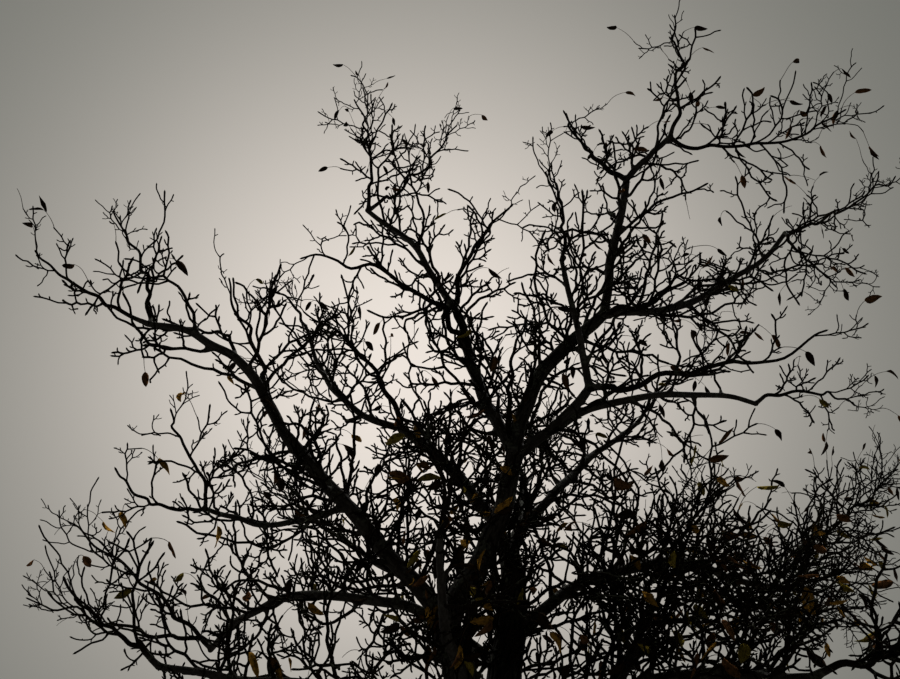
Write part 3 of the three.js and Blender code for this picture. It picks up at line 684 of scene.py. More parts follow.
def close_to(points, line, margin):
    """True for each point in the box round a line, which is wider than the line by the margin."""
    return np.all((points > line.min(0) - margin) & (points < line.max(0) + margin), axis=1)


def off_the_limbs(line):
    """True for each shoot whose joints past the foot all lie outside every limb."""
    flat = line[:, 1:].reshape(-1, 3)
    clear = np.ones(len(flat), bool)
    for limb in limbs.values():
        centres, radius = limb["line"][::TEST_STEP], limb["radius"][::TEST_STEP]
        near = np.flatnonzero(close_to(flat, centres, TEST_MARGIN))
        distance, place = nearest_on_line(flat[near], centres)
        clear[near] &= distance > np.interp(place, np.arange(len(radius)), radius) + LIMB_CLEAR
    return clear.reshape(line.shape[0], line.shape[1] - 1).all(axis=1)


def in_the_box(line, radius):
    """True for each line that stays inside the solids' box, by its radius and a little more."""
    low = np.array(solids_low) + BOX_CLEAR + radius[:, None]
    high = np.array(solids_high) - BOX_CLEAR - radius[:, None]
    return np.all((line > low[:, None]) & (line < high[:, None]), axis=(1, 2))


def within_reach(line, home, homes):
    """True for each shoot that stays within the reach of the limb or stem that it began from."""
    kept = np.ones(len(line), bool)
    for number in np.unique(home):
        mine = np.flatnonzero(home == number)
        distance, _ = nearest_on_line(line[mine].reshape(-1, 3), homes["line"][number][::TEST_STEP])
        kept[mine] = distance.reshape(len(mine), -1).max(axis=1) < REACH_OVER * homes["reach"][number]
    return kept


def not_coiled(line, long):
    """True for each shoot whose tip is far enough from its foot, so that it hasn't curled up on itself."""
    return np.linalg.norm(line[:, -1] - line[:, 0], axis=1) > LEAST_STRAIGHT * long


inside = in_the_box(stem_homes["line"], stem_homes["radius"][:, 0])
print("stems inside the box:", int(inside.sum()), "of", len(stems))

# %% [markdown]
# ## Growing the crown
# Each level grows from the one before: branches from the buds on limbs and stems, twigs and twiglets from
# the knees, and a short spur from some buds that made nothing else. A shoot that finds no room tries twice
# more, with other rolls and shorter, and is left out after that. Growing the crown like this, where real
# branches would also compete for room, gives gaps and clusters that scattered copies of one twig never
# have.

# %% Growing the crown
SHORTENED = (1, 0.8, 0.65)
RETRY_SEED, FATE_SEED = 5, 1
SET_IN, UPTURN = 0.8, 0.5


def pick(rows, kept):
    """Some of the rows of every array."""
    return {key: values[kept] for key, values in rows.items()}


def fate_of(buds):
    """One roll for each bud, which says what it grows into."""
    return Dice(buds["seed"] + FATE_SEED).roll()


def grow(rows, buds, rule, homes, chosen):
    """One level of growth, on all its carriers at once. Length is the carrier's x the rule's share x a fall
    towards its tip x a lottery, and the heading is cos(angle) x along + sin(angle) x out."""
    left = pick(buds, chosen)
    grown = []
    for attempt, size in enumerate(SHORTENED):
        owner, home = left["owner"], rows["home"][left["owner"]]
        dice = Dice(left["seed"] + RETRY_SEED * attempt)
        # The first rolls of this seed have set the bud's own place, so three are passed over
        dice.swing_vector()
        angle = np.radians(rule["angle"] + rule["swing"] * dice.swing())[:, None]
        lottery = rule["least"] + (1 - rule["least"]) * dice.roll()
        long = size * rows["long"][owner] * rule["length"] * (1 - rule["taper"] * left["share"]) * lottery
        heading = unit(np.cos(angle) * left["along"] + np.sin(angle) * left["out"])
        foot = np.minimum(rule["most"], rule["thick"] * left["radius"])
        tip = np.minimum(rule["tip"], foot)
        start = left["point"] + left["out"] * SET_IN * np.maximum(0, left["radius"] - foot)[:, None]
        upturn = np.where(homes["bushy"][home], BUSHY_UPTURN, UPTURN) * 2 * dice.roll()
        line, out = shoot_lines(start, heading, long, upturn, rule["steps"], dice)
        radius = foot[:, None] + (tip - foot)[:, None] * np.linspace(0, 1, rule["steps"] + 1)
        fits = off_the_limbs(line) & in_the_box(line, foot) & within_reach(line, home, homes)
        fits &= not_coiled(line, long)
        made = {"line": line, "out": out, "radius": radius, "seed": left["seed"], "long": long, "home": home}
        grown.append(pick(made, fits))
        left = pick(left, ~fits)
    return {key: np.concatenate([made[key] for made in grown]) for key in grown[0]}


def grow_crown(homes, buds, rules):
    """Branches on the limbs, twigs and twiglets on their knees, and spurs where no twig grew."""
    levels = [grow(homes, buds, rules[0], homes, np.ones(len(buds["seed"]), bool))]
    spurs = []
    for rule in (*rules[1:], None):
        carriers = levels[-1]
        buds = knee_buds(carriers)
        fate = fate_of(buds)
        chance = rule["chance"] if rule else 0
        if rule:
            levels.append(grow(carriers, buds, rule, homes, fate < chance))
        spurred = (fate >= chance) & (fate < chance + SPUR["chance"] * (1 - chance))
        spur_rows = {**carriers, "long": np.ones(len(carriers["seed"]))}
        spurs.append(grow(spur_rows, buds, SPUR, homes, spurred))
    return levels, spurs


def counts_of(levels):
    return [len(rows["seed"]) for rows in levels]


side_levels, side_spurs = grow_crown(limb_homes, limb_bud_rows, SIDE_RULES)
mass_levels, mass_spurs = grow_crown(stem_homes, stem_bud_rows, MASS_RULES)
print("on the limbs:", counts_of(side_levels), "and", counts_of(side_spurs), "spurs")
print("on the stems:", counts_of(mass_levels), "and", counts_of(mass_spurs), "spurs")

# %% [markdown]
# ## The trunk's own outline
# A trunk isn't round. Root ridges run out in the flare at the ground, and where two stems part it widens in
# their plane. A formula of height and heading, on a grid of both, gives it, and is easier to tune than a
# sculpted form.

# %% The trunk's own outline
FLARE, FLARE_HEIGHT = 0.105, 0.230
ROOT_RIDGES, RIDGE_HEADING, RIDGE_DEPTH, RIDGE_HEIGHT = 5, -12, 0.032, 0.420
FORK_WIDENING, FORK_ONSET, FORK_HEADING = 0.3, 3, 18

# The dome on the fork: each ring's share of the trunk's radius there, and its rise
FORK_DOME = ((0.8, 0.050), (0.45, 0.080))
TRUNK_ROUND, TRUNK_TALL = 72, 56

# The trunk first goes on below the ground, where a later cut takes it away and leaves a clean edge
BELOW_CUT = 0.04


def trunk_radius(height, share, heading):
    """Even taper x widening at the fork, plus a flare and root ridges that both fade upwards as
    exp(-height)."""
    foot, end = LIMBS["trunk"][5]
    even = (foot + (end - foot) * share) / 2
    flare = FLARE * np.exp(-height / FLARE_HEIGHT)
    ridged = np.cos(ROOT_RIDGES * (heading - math.radians(RIDGE_HEADING)))
    ridge = RIDGE_DEPTH * np.exp(-height / RIDGE_HEIGHT) * ridged
    across = np.cos(heading - math.radians(FORK_HEADING)) ** 2
    return even * (1 + FORK_WIDENING * across * share**FORK_ONSET) + flare + ridge


def trunk_skin():
    """Level rings up the trunk's line, one below the cut and a dome of two at the fork."""
    line = limbs["trunk"]["line"]
    share = np.linspace(0, 1, TRUNK_TALL)
    joints = np.linspace(0, 1, LINE_JOINTS)
    centre = np.stack([np.interp(share, joints, line[:, axis]) for axis in range(3)], axis=-1)
    below = centre[:1] - [0, 0, BELOW_CUT]
    dome = [centre[-1] + [0, 0, rise] for _, rise in FORK_DOME]
    centre = np.vstack([below, centre, dome])
    share = np.concatenate([[0], share, np.ones(len(FORK_DOME))])
    scale = np.concatenate([np.ones(TRUNK_TALL + 1), [size for size, _ in FORK_DOME]])
    heading = 2 * math.pi * np.arange(TRUNK_ROUND) / TRUNK_ROUND
    height = np.maximum(centre[:, 2:], 0)
    radius = scale[:, None] * trunk_radius(height, share[:, None], heading)
    flat = np.stack([np.cos(heading), np.sin(heading), np.zeros(TRUNK_ROUND)], axis=-1)
    rings = centre[:, None] + radius[..., None] * flat
    return skin_of(rings[None], rings[None])


print("trunk at the ground:", round(float(trunk_radius(0, 0, 0)) * 2, 2), "m across")

# %% [markdown]
# ## Tubes and collars
# Old wood swells where a branch leaves it. So besides its own tubes, a piece of bark holds a short collar
# for each limb and side branch that goes on from it. The collar starts wider than the branch and tapers
# until it sinks into the branch's own skin. A limb's tube ends in half a ball, so that the forks have no
# sharp rims in them.

# %% Tubes and collars
TUBE_SIDES = 28
END_ROUNDING = (30, 60, 80)

# Each collar: how long it is, and its radius at start and end against the limb's
STEM_FOOT, STEM_FOOT_TAPER = 0.60, (1.30, 0.92)
LIMB_COLLAR, LIMB_COLLAR_TAPER = 0.30, (1.34, 0.8)
STEM_COLLAR, STEM_COLLAR_TAPER = 0.22, (1.25, 0.85)
LEAST_COLLAR_JOINTS = 4

# The collars of side branches are short tubes with fewer sides, which take the first joints of a finer line
SIDE_COLLAR_TAPER = (2.1, 0.9)
SIDE_COLLAR_FINER, SIDE_COLLAR_JOINTS, SIDE_COLLAR_SIDES = 4, 5, 12


def rounded_end(line, radius):
    """Rings that close the end as a half ball: on by radius x sin, and in to radius x cos, of rising
    angles."""
    angles = np.radians(END_ROUNDING)
    way = unit(line[-1] - line[-2])
    more = line[-1] + radius[-1] * np.sin(angles)[:, None] * way
    return np.vstack([line, more]), np.concatenate([radius, radius[-1] * np.cos(angles)])


def tube_of(line, radius):
    """The skin of one line, closed with a rounded end."""
    line, radius = rounded_end(line, radius)
    return skin_of(*rings_round(line[None], radius[None], TUBE_SIDES))


def collar_of(limb, long, taper):
    """The first stretch of a limb, from wider than it to thinner than it."""
    joints = max(LEAST_COLLAR_JOINTS, int(long / limb["length"] * LINE_JOINTS))
    return tube_of(limb["line"][:joints], limb["radius"][:joints] * np.linspace(*taper, joints))


def finer(lines, per_step):
    """The same Catmull-Rom spline as on the limbs, on all lines at once."""
    joints = (lines.shape[1] - 1) * per_step + 1
    if not len(lines):
        return lines[:, :1].repeat(joints, 1)
    return np.stack([spline(line, joints) for line in lines])


def side_collars(names):
    """The first stretches of the side branches on these limbs."""
    rows = side_levels[0]
    mine = np.isin(rows["home"], [number for number, name in enumerate(BRANCHED_LIMBS) if name in names])
    lines = finer(rows["line"][mine], SIDE_COLLAR_FINER)[:, :SIDE_COLLAR_JOINTS]
    radii = rows["radius"][mine, :1] * np.linspace(*SIDE_COLLAR_TAPER, SIDE_COLLAR_JOINTS)
    return skin_of(*rings_round(lines, radii, SIDE_COLLAR_SIDES))


print("collars on the leader's first stretch:", len(side_collars(("leader_low",))["walls"]), "walls")

# %% [markdown]
# ## One skin over trunk and boughs
# Where a bough leaves a stem, bark runs on from one to the other without a seam. Tubes that only cross each
# other show a hard line there. So the tubes are laid in one another and a voxel remesh wraps all of them in
# one even skin, which a smoothing then softens in the forks. Booleans would keep the hard line, and
# metaballs would blow up the thin ends. It is done in four pieces, so that none gets too heavy: the trunk
# with its stems, the leader with its nearest boughs, and the boughs on the left and on the right.

# %% One skin over trunk and boughs
SMOOTHINGS, SMOOTH_SHARE = 4, 0.5


def wrapped(name, names, extra, voxel):
    """Tubes and collars as one mesh, wrapped by voxels and smoothed."""
    skins = extra + [tube_of(limbs[limb]["line"], limbs[limb]["radius"]) for limb in names if limb != "trunk"]
    for other, limb in limbs.items():
        if limb["from"] in names and other not in names:
            skins.append(collar_of(limb, LIMB_COLLAR, LIMB_COLLAR_TAPER))
    for stem in stems.values():
        if stem["from"] in names:
            skins.append(collar_of(stem, STEM_COLLAR, STEM_COLLAR_TAPER))
    skins.append(side_collars(names))
    piece = add_piece(name, joined(skins))
    wrap = piece.modifiers.new("wrap", "REMESH")
    wrap.mode = "VOXEL"
    wrap.voxel_size = voxel
    soften = piece.modifiers.new("soften", "SMOOTH")
    soften.factor = SMOOTH_SHARE
    soften.iterations = SMOOTHINGS
    graph = bpy.context.evaluated_depsgraph_get()
    mesh = bpy.data.meshes.new_from_object(piece.evaluated_get(graph))
    piece.modifiers.clear()
    raw = piece.data
    piece.data = mesh
    bpy.data.meshes.remove(raw)
    mesh.name = name
    return piece


def cut_at_ground(piece):
    """Takes away what is below the ground and closes the cut with one flat face."""
    sheet = bmesh.new()
    sheet.from_mesh(piece.data)
    everything = [*sheet.verts, *sheet.edges, *sheet.faces]
    bmesh.ops.bisect_plane(sheet, geom=everything, plane_co=(0, 0, 0), plane_no=(0, 0, 1), clear_inner=True)
    bmesh.ops.holes_fill(sheet, edges=[edge for edge in sheet.edges if edge.is_boundary], sides=0)
    sheet.to_mesh(piece.data)
    sheet.free()


TRUNK_LIMBS = ("trunk", "stem_left", "stem_right")
LEADER_LIMBS = ("leader_low", "leader_mid", "leader_high", "leader_top",
                "bough_right", "bough_right_up", "bough_high")
LEFT_OF = -0.05
SIDE_LIMBS = [name for name in LIMBS if name not in TRUNK_LIMBS + LEADER_LIMBS]
LEFT_LIMBS = tuple(name for name in SIDE_LIMBS if limbs[name]["line"][-1, 0] < LEFT_OF)
RIGHT_LIMBS = tuple(name for name in SIDE_LIMBS if name not in LEFT_LIMBS)

# Each piece: the limbs that it stands for, and the size of its voxels
BARK_PARTS = {
    "bark_trunk": (TRUNK_LIMBS, 0.0080),
    "bark_leader": (LEADER_LIMBS, 0.0070),
    "bark_boughs_left": (LEFT_LIMBS, 0.0084),
    "bark_boughs_right": (RIGHT_LIMBS, 0.0080),
}
stem_feet = [collar_of(limbs[stem], STEM_FOOT, STEM_FOOT_TAPER) for stem in ("stem_left", "stem_right")]
more_skins = {"bark_trunk": [trunk_skin(), *stem_feet]}
bark_pieces = []
for name, (names, voxel) in BARK_PARTS.items():
    bark_pieces.append(wrapped(name, names, more_skins.get(name, []), voxel))
    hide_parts(*names)
cut_at_ground(bark_pieces[0])
print("bark skins:", [triangles_of(piece) for piece in bark_pieces], "triangles")

# %% [markdown]
# ## Noise, and a net of ridges
# Old bark splits into ridges that part and meet again, with long lozenges of furrow between them. Two sets
# of waves that climb round the limb in opposite ways make that net: a point is high where either set is.
# Noise bends the waves. A picture of bark, laid on as displacement, would stretch at every fork.

# %% Noise, and a net of ridges
NOISE_PRIMES = np.array([73856093, 19349663, 83492791])

# How far a ridge climbs for one turn of its wave, how much noise bends it, and how sharp its top is
RIDGE_RISE, RIDGE_WARP, RIDGE_SHARP = 0.34, 1.1, 1.6


def smooth_noise(points, size, seed):
    """Random numbers from -1 to 1 on a lattice of that size, blended between its corners by 3t^2 - 2t^3."""
    cell = points / size
    low = np.floor(cell).astype(np.int64)
    part = cell - low
    part = part * part * (3 - 2 * part)
    value = np.zeros(len(points))
    for corner in product((0, 1), repeat=3):
        mixed = np.bitwise_xor.reduce((low + corner) * NOISE_PRIMES, axis=1) + seed * DICE_FACTOR
        mixed = np.abs(mixed) % DICE_PRIME * DICE_FACTOR % DICE_PRIME
        roll = mixed * DICE_FACTOR % DICE_PRIME / DICE_PRIME
        weight = np.prod(np.where(corner, part, 1 - part), axis=1)
        value += weight * (2 * roll - 1)
    return value


def ridge_net(angle, run, ridges, warp):
    """The higher of two sets of waves, |cos(n angle / 2 + climb)| and |cos(n angle / 2 - climb)|."""
    turn = ridges * angle / 2 + RIDGE_WARP * warp[0]
    climb = math.pi * run / RIDGE_RISE + RIDGE_WARP * warp[1]
    return np.maximum(np.abs(np.cos(turn + climb)), np.abs(np.cos(turn - climb))) ** RIDGE_SHARP


print("noise at the origin:", smooth_noise(np.zeros((1, 3)), 1, 1).round(3))

# %% [markdown]
# ## Which limb lies under a point
# The wrapped skin has lost its sense of which way a limb runs, but ridges must run along it. So each point
# looks for the limb whose surface is nearest and reads off its own angle round that limb and its run along
# it. How much nearer that limb is than the next tells how far the point is from a fork.

# %% Which limb lies under a point
BARK_STEP, BARK_MARGIN = 2, 0.5


def limb_under(points, names):
    """The limb whose surface is nearest to each point, the place on it, and how much nearer it is than the
    next."""
    depth = np.full(len(points), np.inf)
    second = np.full(len(points), np.inf)
    owner = np.zeros(len(points), int)
    place = np.zeros(len(points))
    for number, name in enumerate(names):
        line, radius = limbs[name]["line"][::BARK_STEP], limbs[name]["radius"][::BARK_STEP]
        index = np.flatnonzero(close_to(points, line, BARK_MARGIN))
        distance, where = nearest_on_line(points[index], line)
        over = distance - np.interp(where, np.arange(len(radius)), radius)
        first = over < depth[index]
        second[index] = np.where(first, depth[index], np.minimum(second[index], over))
        won = index[first]
        depth[won], owner[won], place[won] = over[first], number, where[first]
    return owner, place * BARK_STEP, second - depth


def on_the_limb(points, names):
    """Coordinates that follow the limb: angle round it, run along it, its radius, and the clearance of
    forks."""
    owner, place, clearance = limb_under(points, names)
    angle, run, radius = (np.zeros(len(points)) for _ in range(3))
    for number, name in enumerate(names):
        mine = owner == number
        limb = limbs[name]
        _, side, other = (axis[0] for axis in frames_along(limb["line"][None]))
        joint = np.minimum(place[mine].astype(int), LINE_JOINTS - 2)
        part = (place[mine] - joint)[:, None]
        centre = limb["line"][joint] * (1 - part) + limb["line"][joint + 1] * part
        offset = points[mine] - centre
        angle[mine] = np.arctan2(np.sum(offset * other[joint], 1), np.sum(offset * side[joint], 1))
        run[mine] = place[mine] / (LINE_JOINTS - 1) * limb["length"] + number
        radius[mine] = np.interp(place[mine], np.arange(LINE_JOINTS), limb["radius"])
    return owner, angle, run, radius, clearance


_, _, run_up, _, _ = on_the_limb(np.array([[0.0, 0, 1]]), ["trunk"])
print("run along the trunk at 1 m:", run_up.round(2))

# %% [markdown]
# ## Forks that are filled
# Wood fills the angle of a fork over the years, so forks are smoothed much more than the rest, before they
# get their ridges. Blender's Smooth brush does the same by hand. Here a share does it that fades to nothing
# away from the fork.

# %% Forks that are filled
FORK_SOFTENINGS, FORK_SPAN, FORK_STEP = 50, 0.7, 0.5


def taken(values, field, width, kind=float):
    """A field of all points or edges of a mesh, as an array with one row each."""
    array = np.empty(len(values) * width, kind)
    values.foreach_get(field, array)
    return array.reshape(-1, width)


def soften_forks(mesh, names):
    """Each point goes half way to the mean of its neighbours, many times, by 1 where two limbs are equally
    near and by 0 where one is nearer by the span x its radius."""
    points = taken(mesh.vertices, "co", 3)
    one, two = taken(mesh.edges, "vertices", 2, np.int32).T
    _, _, _, radius, clearance = on_the_limb(points, names)
    share = FORK_STEP * np.clip(1 - clearance / (FORK_SPAN * radius), 0, 1)[:, None]
    total = len(points)
    count = np.bincount(one, minlength=total) + np.bincount(two, minlength=total)
    for _ in range(FORK_SOFTENINGS):
        sums = [
            np.bincount(one, points[two, axis], total) + np.bincount(two, points[one, axis], total)
            for axis in range(3)
        ]
        points += share * (np.stack(sums, axis=-1) / count[:, None] - points)
    mesh.vertices.foreach_set("co", points.astype(np.float32).ravel())
    mesh.update()


print("a fork's smoothing ends where one limb is nearer by", FORK_SPAN, "of its radius")

# %% [markdown]
# ## Ridges on the bark
# Ridges keep their width, so a thick limb has more of them, and they get shallower as the limb thins, until
# the bark is smooth. They are real geometry, because a bump in a material leaves the outline of a trunk as
# smooth as a pipe. Two layers of wide lumps make the limb under them less even. The net, the limb's girth
# and the grain are kept as attributes, for the colours to follow.

# %% Ridges on the bark
RIDGE_WIDTH, LEAST_RIDGES = 0.038, 3

# Depth of the relief as a share of the radius over a least one, and at most; how much of it stays in a
# fork, and the share of the radius over which it comes back
RELIEF_SHARE, RELIEF_FROM, RELIEF_MOST = 0.078, 0.014, 0.0135
FORK_RELIEF, FORK_CLEAR = 0.35, 0.5

# The net's height that stays where the skin was, and how its height varies: the even part, the varied part
# and the size of the noise
NET_LEVEL = 0.6
NET_EVEN, NET_VARIED, NET_GRAIN = 0.85, 0.3, 0.03
WARP_SIZES = (0.11, 0.15)

# Each layer of lumps: share of the radius, size and seed
LUMPS = ((0.04, 0.16, 4), (0.02, 0.05, 5))
GROUNDED, OLD_RADIUS = 0.001, 0.2


def give_relief(piece, names):
    """Moves each point out along its normal by the net of ridges, as deep as the limb's thickness
    allows."""
    mesh = piece.data
    soften_forks(mesh, names)
    points, normals = taken(mesh.vertices, "co", 3), taken(mesh.vertex_normals, "vector", 3)
    owner, angle, run, radius, clearance = on_the_limb(points, names)
    girth = np.array([sum(limbs[name]["thick"]) / 4 for name in names])[owner]
    ridges = 2 * np.maximum(LEAST_RIDGES, np.round(math.pi * girth / RIDGE_WIDTH))
    warp = [smooth_noise(points, size, seed) for seed, size in enumerate(WARP_SIZES, 1)]
    net = ridge_net(angle, run, ridges, warp)
    net = net * (NET_EVEN + NET_VARIED * smooth_noise(points, NET_GRAIN, 3))
    depth = np.clip(RELIEF_SHARE * (radius - RELIEF_FROM), 0, RELIEF_MOST)
    depth = depth * (FORK_RELIEF + (1 - FORK_RELIEF) * np.clip(clearance / (FORK_CLEAR * radius), 0, 1))
    lumps = sum(share * radius * smooth_noise(points, size, seed) for share, size, seed in LUMPS)
    move = normals * (depth * (net - NET_LEVEL) + lumps)[:, None]
    move[points[:, 2] < GROUNDED, 2] = 0
    points = points + move
    points[:, 2] = np.maximum(points[:, 2], 0)
    mesh.vertices.foreach_set("co", points.astype(np.float32).ravel())
    mesh.update()
    mesh.shade_smooth()
    keep_attribute(mesh, "relief", np.clip(net, 0, 1))
    keep_attribute(mesh, "girth", np.clip(radius / OLD_RADIUS, 0, 1))
    keep_attribute(mesh, "grain", np.stack([radius * np.cos(angle), radius * np.sin(angle), run], axis=-1))
    print(piece.name, "relief up to", round(float(depth.max()) * 1000, 1), "mm")


for piece, (names, _) in zip(bark_pieces, BARK_PARTS.values()):
    following = tuple(name for name in LIMBS if limbs[name]["from"] in names and name not in names)
    give_relief(piece, names + following)

# %% [markdown]
# ## Skins for branches, twigs and spurs
# Branches and twigs get a spline through their knees, so that they bend the way wood does. A twig is
# swollen at its foot, where it grew out of the bark, and ends in a blunt bud. Each kind is joined into a
# few pieces, one for each part of the crown, because thousands of loose objects would be slow and hard to
# handle. Instances of a few model twigs would be lighter, but then the same twig would show up again and
# again.

# %% Skins for branches, twigs and spurs
FOOT_SWELL, BUD_SWELL, BUD_POINT = 1.4, 1.12, 2.4
ZONES = ("left", "right", "high", "back")
HIGH_FROM, BACK_FROM = 5.6, 1.2

# Sides of the tube and steps of the spline for each knee: a mass's stem, then branches, twigs and twiglets
STEM_COUNTS, SHOOT_COUNTS = (10, 1), ((6, 2), (5, 2), (4, 1))
SPUR_SIDES, SPUR_WAIST = 3, 0.9


def zone_of(homes):
    """The part of the crown that a limb's end lies in."""
    end = homes["line"][:, -1]
    zone = np.where(end[:, 0] < 0, 0, 1)
    zone = np.where(end[:, 1] > BACK_FROM, 3, zone)
    return np.where(end[:, 2] > HIGH_FROM, 2, zone)


def shoot_skin(rows, sides, per_step):
    """The skins of shoots, whose radius runs evenly from a swollen foot to a swollen bud."""
    line = finer(rows["line"], per_step)
    joints = line.shape[1]
    foot, tip = rows["radius"][:, :1], rows["radius"][:, -1:]
    radius = foot + (tip - foot) * np.linspace(0, 1, joints)
    radius[:, 0] *= FOOT_SWELL
    radius[:, -1] *= BUD_SWELL
    return skin_of(*rings_round(line, radius, sides), BUD_POINT)


def spur_skin(rows):
    """The skins of spurs, which have a foot, a waist and a bud."""
    radius = rows["radius"] * [FOOT_SWELL, SPUR_WAIST, BUD_SWELL]
    return skin_of(*rings_round(rows["line"], radius, SPUR_SIDES), BUD_POINT)


limb_zones, stem_zones = zone_of(limb_homes), zone_of(stem_homes)
branch_pieces, twig_pieces = [], []
for zone, zone_name in enumerate(ZONES):
    skins = [[shoot_skin(pick(stem_homes, stem_zones == zone), *STEM_COUNTS)], [], []]
    for levels, zones in ((side_levels, limb_zones), (mass_levels, stem_zones)):
        for level, rows in enumerate(levels):
            mine = zones[rows["home"]] == zone
            skins[level].append(shoot_skin(pick(rows, mine), *SHOOT_COUNTS[level]))
    spur_skins = []
    for levels, zones in ((side_spurs, limb_zones), (mass_spurs, stem_zones)):
        for rows in levels:
            spur_skins.append(spur_skin(pick(rows, zones[rows["home"]] == zone)))
    branch_pieces.append(add_piece("branches_" + zone_name, joined(skins[0])))
    twig_pieces.append(add_piece("twigs_fine_" + zone_name, joined(skins[1] + skins[2])))
    twig_pieces.append(add_piece("spurs_" + zone_name, joined(spur_skins)))
    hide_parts(*[name for name, own in zip(stems, stem_zones) if own == zone])
    print(zone_name, [triangles_of(piece) for piece in (branch_pieces[-1], *twig_pieces[-2:])])

# %% [markdown]
# ## Leaf stalks
# In winter this tree holds a few leaves of last year. Each hangs from a long, thin stalk that leaves a
# twig's tip and sags under it, and many stalks have already lost theirs. A stalk is a tube like the twigs,
# with a droop in place of the upturn. Where the photograph shows more leaves, as low down and in the
# middle, more twigs get a stalk.

# %% Leaf stalks
STALK_STEPS, STALK_SIDES = 7, 3
STALK_LONG, STALK_LEAST = 0.23, 0.4
STALK_FOOT, STALK_TIP = 0.0026, 0.0016
STALK_TURN, STALK_DROOP, STALK_KINK = 0.7, 0.9, 0.10
STALK_PICK_SEED, STALK_SEED = 2, 3

# The share of stalks without a leaf, and the room that a stalk leaves at the edge of the box for its leaves
BARE_SHARE, STALK_ROOM = 0.25, 0.10

# The share of twigs with a stalk, and where there are more of them
STALK_SHARE = 0.05
LEAFY = {
    "stem_left": 0.50, "stem_right": 0.40, "leader_low": 0.45, "leader_mid": 0.10, "leader_high": 0.12,
    "leader_top": 0.30, "bough_left": 0.08, "bough_mid_left": 0.10, "bough_right_far": 0.16,
    "bough_upper_right": 0.12, "bough_low_right": 0.30, "bough_lowest_right": 0.25, "bough_rising": 0.50,
    "bough_front": 0.70, "twigs_top": 0.30, "twigs_top_right": 0.64, "twigs_top_left": 0.20,
    "twigs_high": 0.15, "twigs_upper_right": 0.20, "twigs_upper_right_down": 0.12, "twigs_right_far": 0.30,
    "twigs_right_mid": 0.35, "twigs_back_right": 0.25, "twigs_low_right": 0.30,
    "twigs_low_right_inner": 0.25, "twigs_lowest_right": 0.30, "twigs_rising_right": 0.25,
    "twigs_rising_up": 0.40, "twigs_centre": 0.20, "twigs_front": 0.60,
}


def tips_of(levels, names):
    """The ends of all twigs and twiglets, with their ways on and how likely each is to hold a stalk."""
    share = np.array([LEAFY.get(name, STALK_SHARE) for name in names])
    return {
        "point": np.concatenate([rows["line"][:, -1] for rows in levels]),
        "heading": np.concatenate([unit(rows["line"][:, -1] - rows["line"][:, -2]) for rows in levels]),
        "seed": np.concatenate([rows["seed"] for rows in levels]),
        "share": np.concatenate([share[rows["home"]] for rows in levels]),
    }


def stalk_lines(point, heading, long, dice):
    """Equal steps: after each, the heading takes a small kink and an even share of the droop, straight
    down."""
    line = [point]
    for _ in range(STALK_STEPS):
        line.append(line[-1] + heading * (long / STALK_STEPS)[:, None])
        heading = unit(heading + STALK_KINK * dice.swing_vector() - [0, 0, STALK_DROOP / STALK_STEPS])
    return np.stack(line, axis=1)


side_tips = tips_of(side_levels[1:], BRANCHED_LIMBS)
mass_tips = tips_of(mass_levels[1:], list(stems))
tips = {key: np.concatenate([side_tips[key], mass_tips[key]]) for key in side_tips}
tips = pick(tips, Dice(tips["seed"] + STALK_PICK_SEED).roll() < tips["share"])
dice = Dice(tips["seed"] + STALK_SEED)
heading = unit(tips["heading"] + STALK_TURN * dice.swing_vector())
stalk_long = STALK_LONG * (STALK_LEAST + (1 - STALK_LEAST) * dice.roll())
stalks = stalk_lines(tips["point"], heading, stalk_long, dice)
bare = dice.roll() < BARE_SHARE
inside = in_the_box(stalks, np.full(len(stalks), STALK_ROOM))
stalks, bare, stalk_seed = stalks[inside], bare[inside], tips["seed"][inside]
stalk_radius = np.broadcast_to(np.linspace(STALK_FOOT, STALK_TIP, STALK_STEPS + 1), stalks.shape[:2])
leaf_stalks = add_piece("leaf_stalks", skin_of(*rings_round(stalks, stalk_radius, STALK_SIDES)))
print(len(stalks), "stalks,", int(bare.sum()), "of them bare")

# %% [markdown]
# ## The shape of a withered leaf
# A dry leaf is an oval blade that has folded up along its midrib, curled, twisted and rippled at its edges.
# A flat card with a picture of a leaf would be lighter, but from the side it vanishes. Here the blade is
# one more profile carried along a line, the midrib: a flat V of six points, thin and closed, so that it has
# two sides. Hundreds hang in the crown, so each has only a few dozen faces.

# %% The shape of a withered leaf
# Places along the midrib, from 0 at the stalk to 1 at the tip
LEAF_PLACES = np.array([0, 0.10, 0.26, 0.46, 0.66, 0.85, 1.0])

# The six points across the blade, in half widths: where each is, how far it rises with the fold, and which
# lie on the upper and the lower side, in thicknesses
ACROSS = np.array([-1, -0.5, 0, 0.5, 1, 0])
RISE = np.array([1, 0.42, 0, 0.42, 1, 0])
THICK = np.array([0, 0.5, 0.6, 0.5, 0, -0.6])
LEAF_THICK, LEAF_RIM = 0.0016, 0.0008

# Half the width as a share of the length, and the power that makes the oval fuller towards its stalk
LEAF_WIDE, LEAF_FULLNESS = 0.18, 0.8
LEAF_FOLD, LEAF_CURL, LEAF_TWIST = 0.55, 0.55, 1.1
RIPPLE, RIPPLE_WAVES = 0.18, 9

# The least and the varied share of the fold and of the width
FOLD_SHARES, WIDE_SHARES = (0.6, 0.8), (0.75, 0.45)


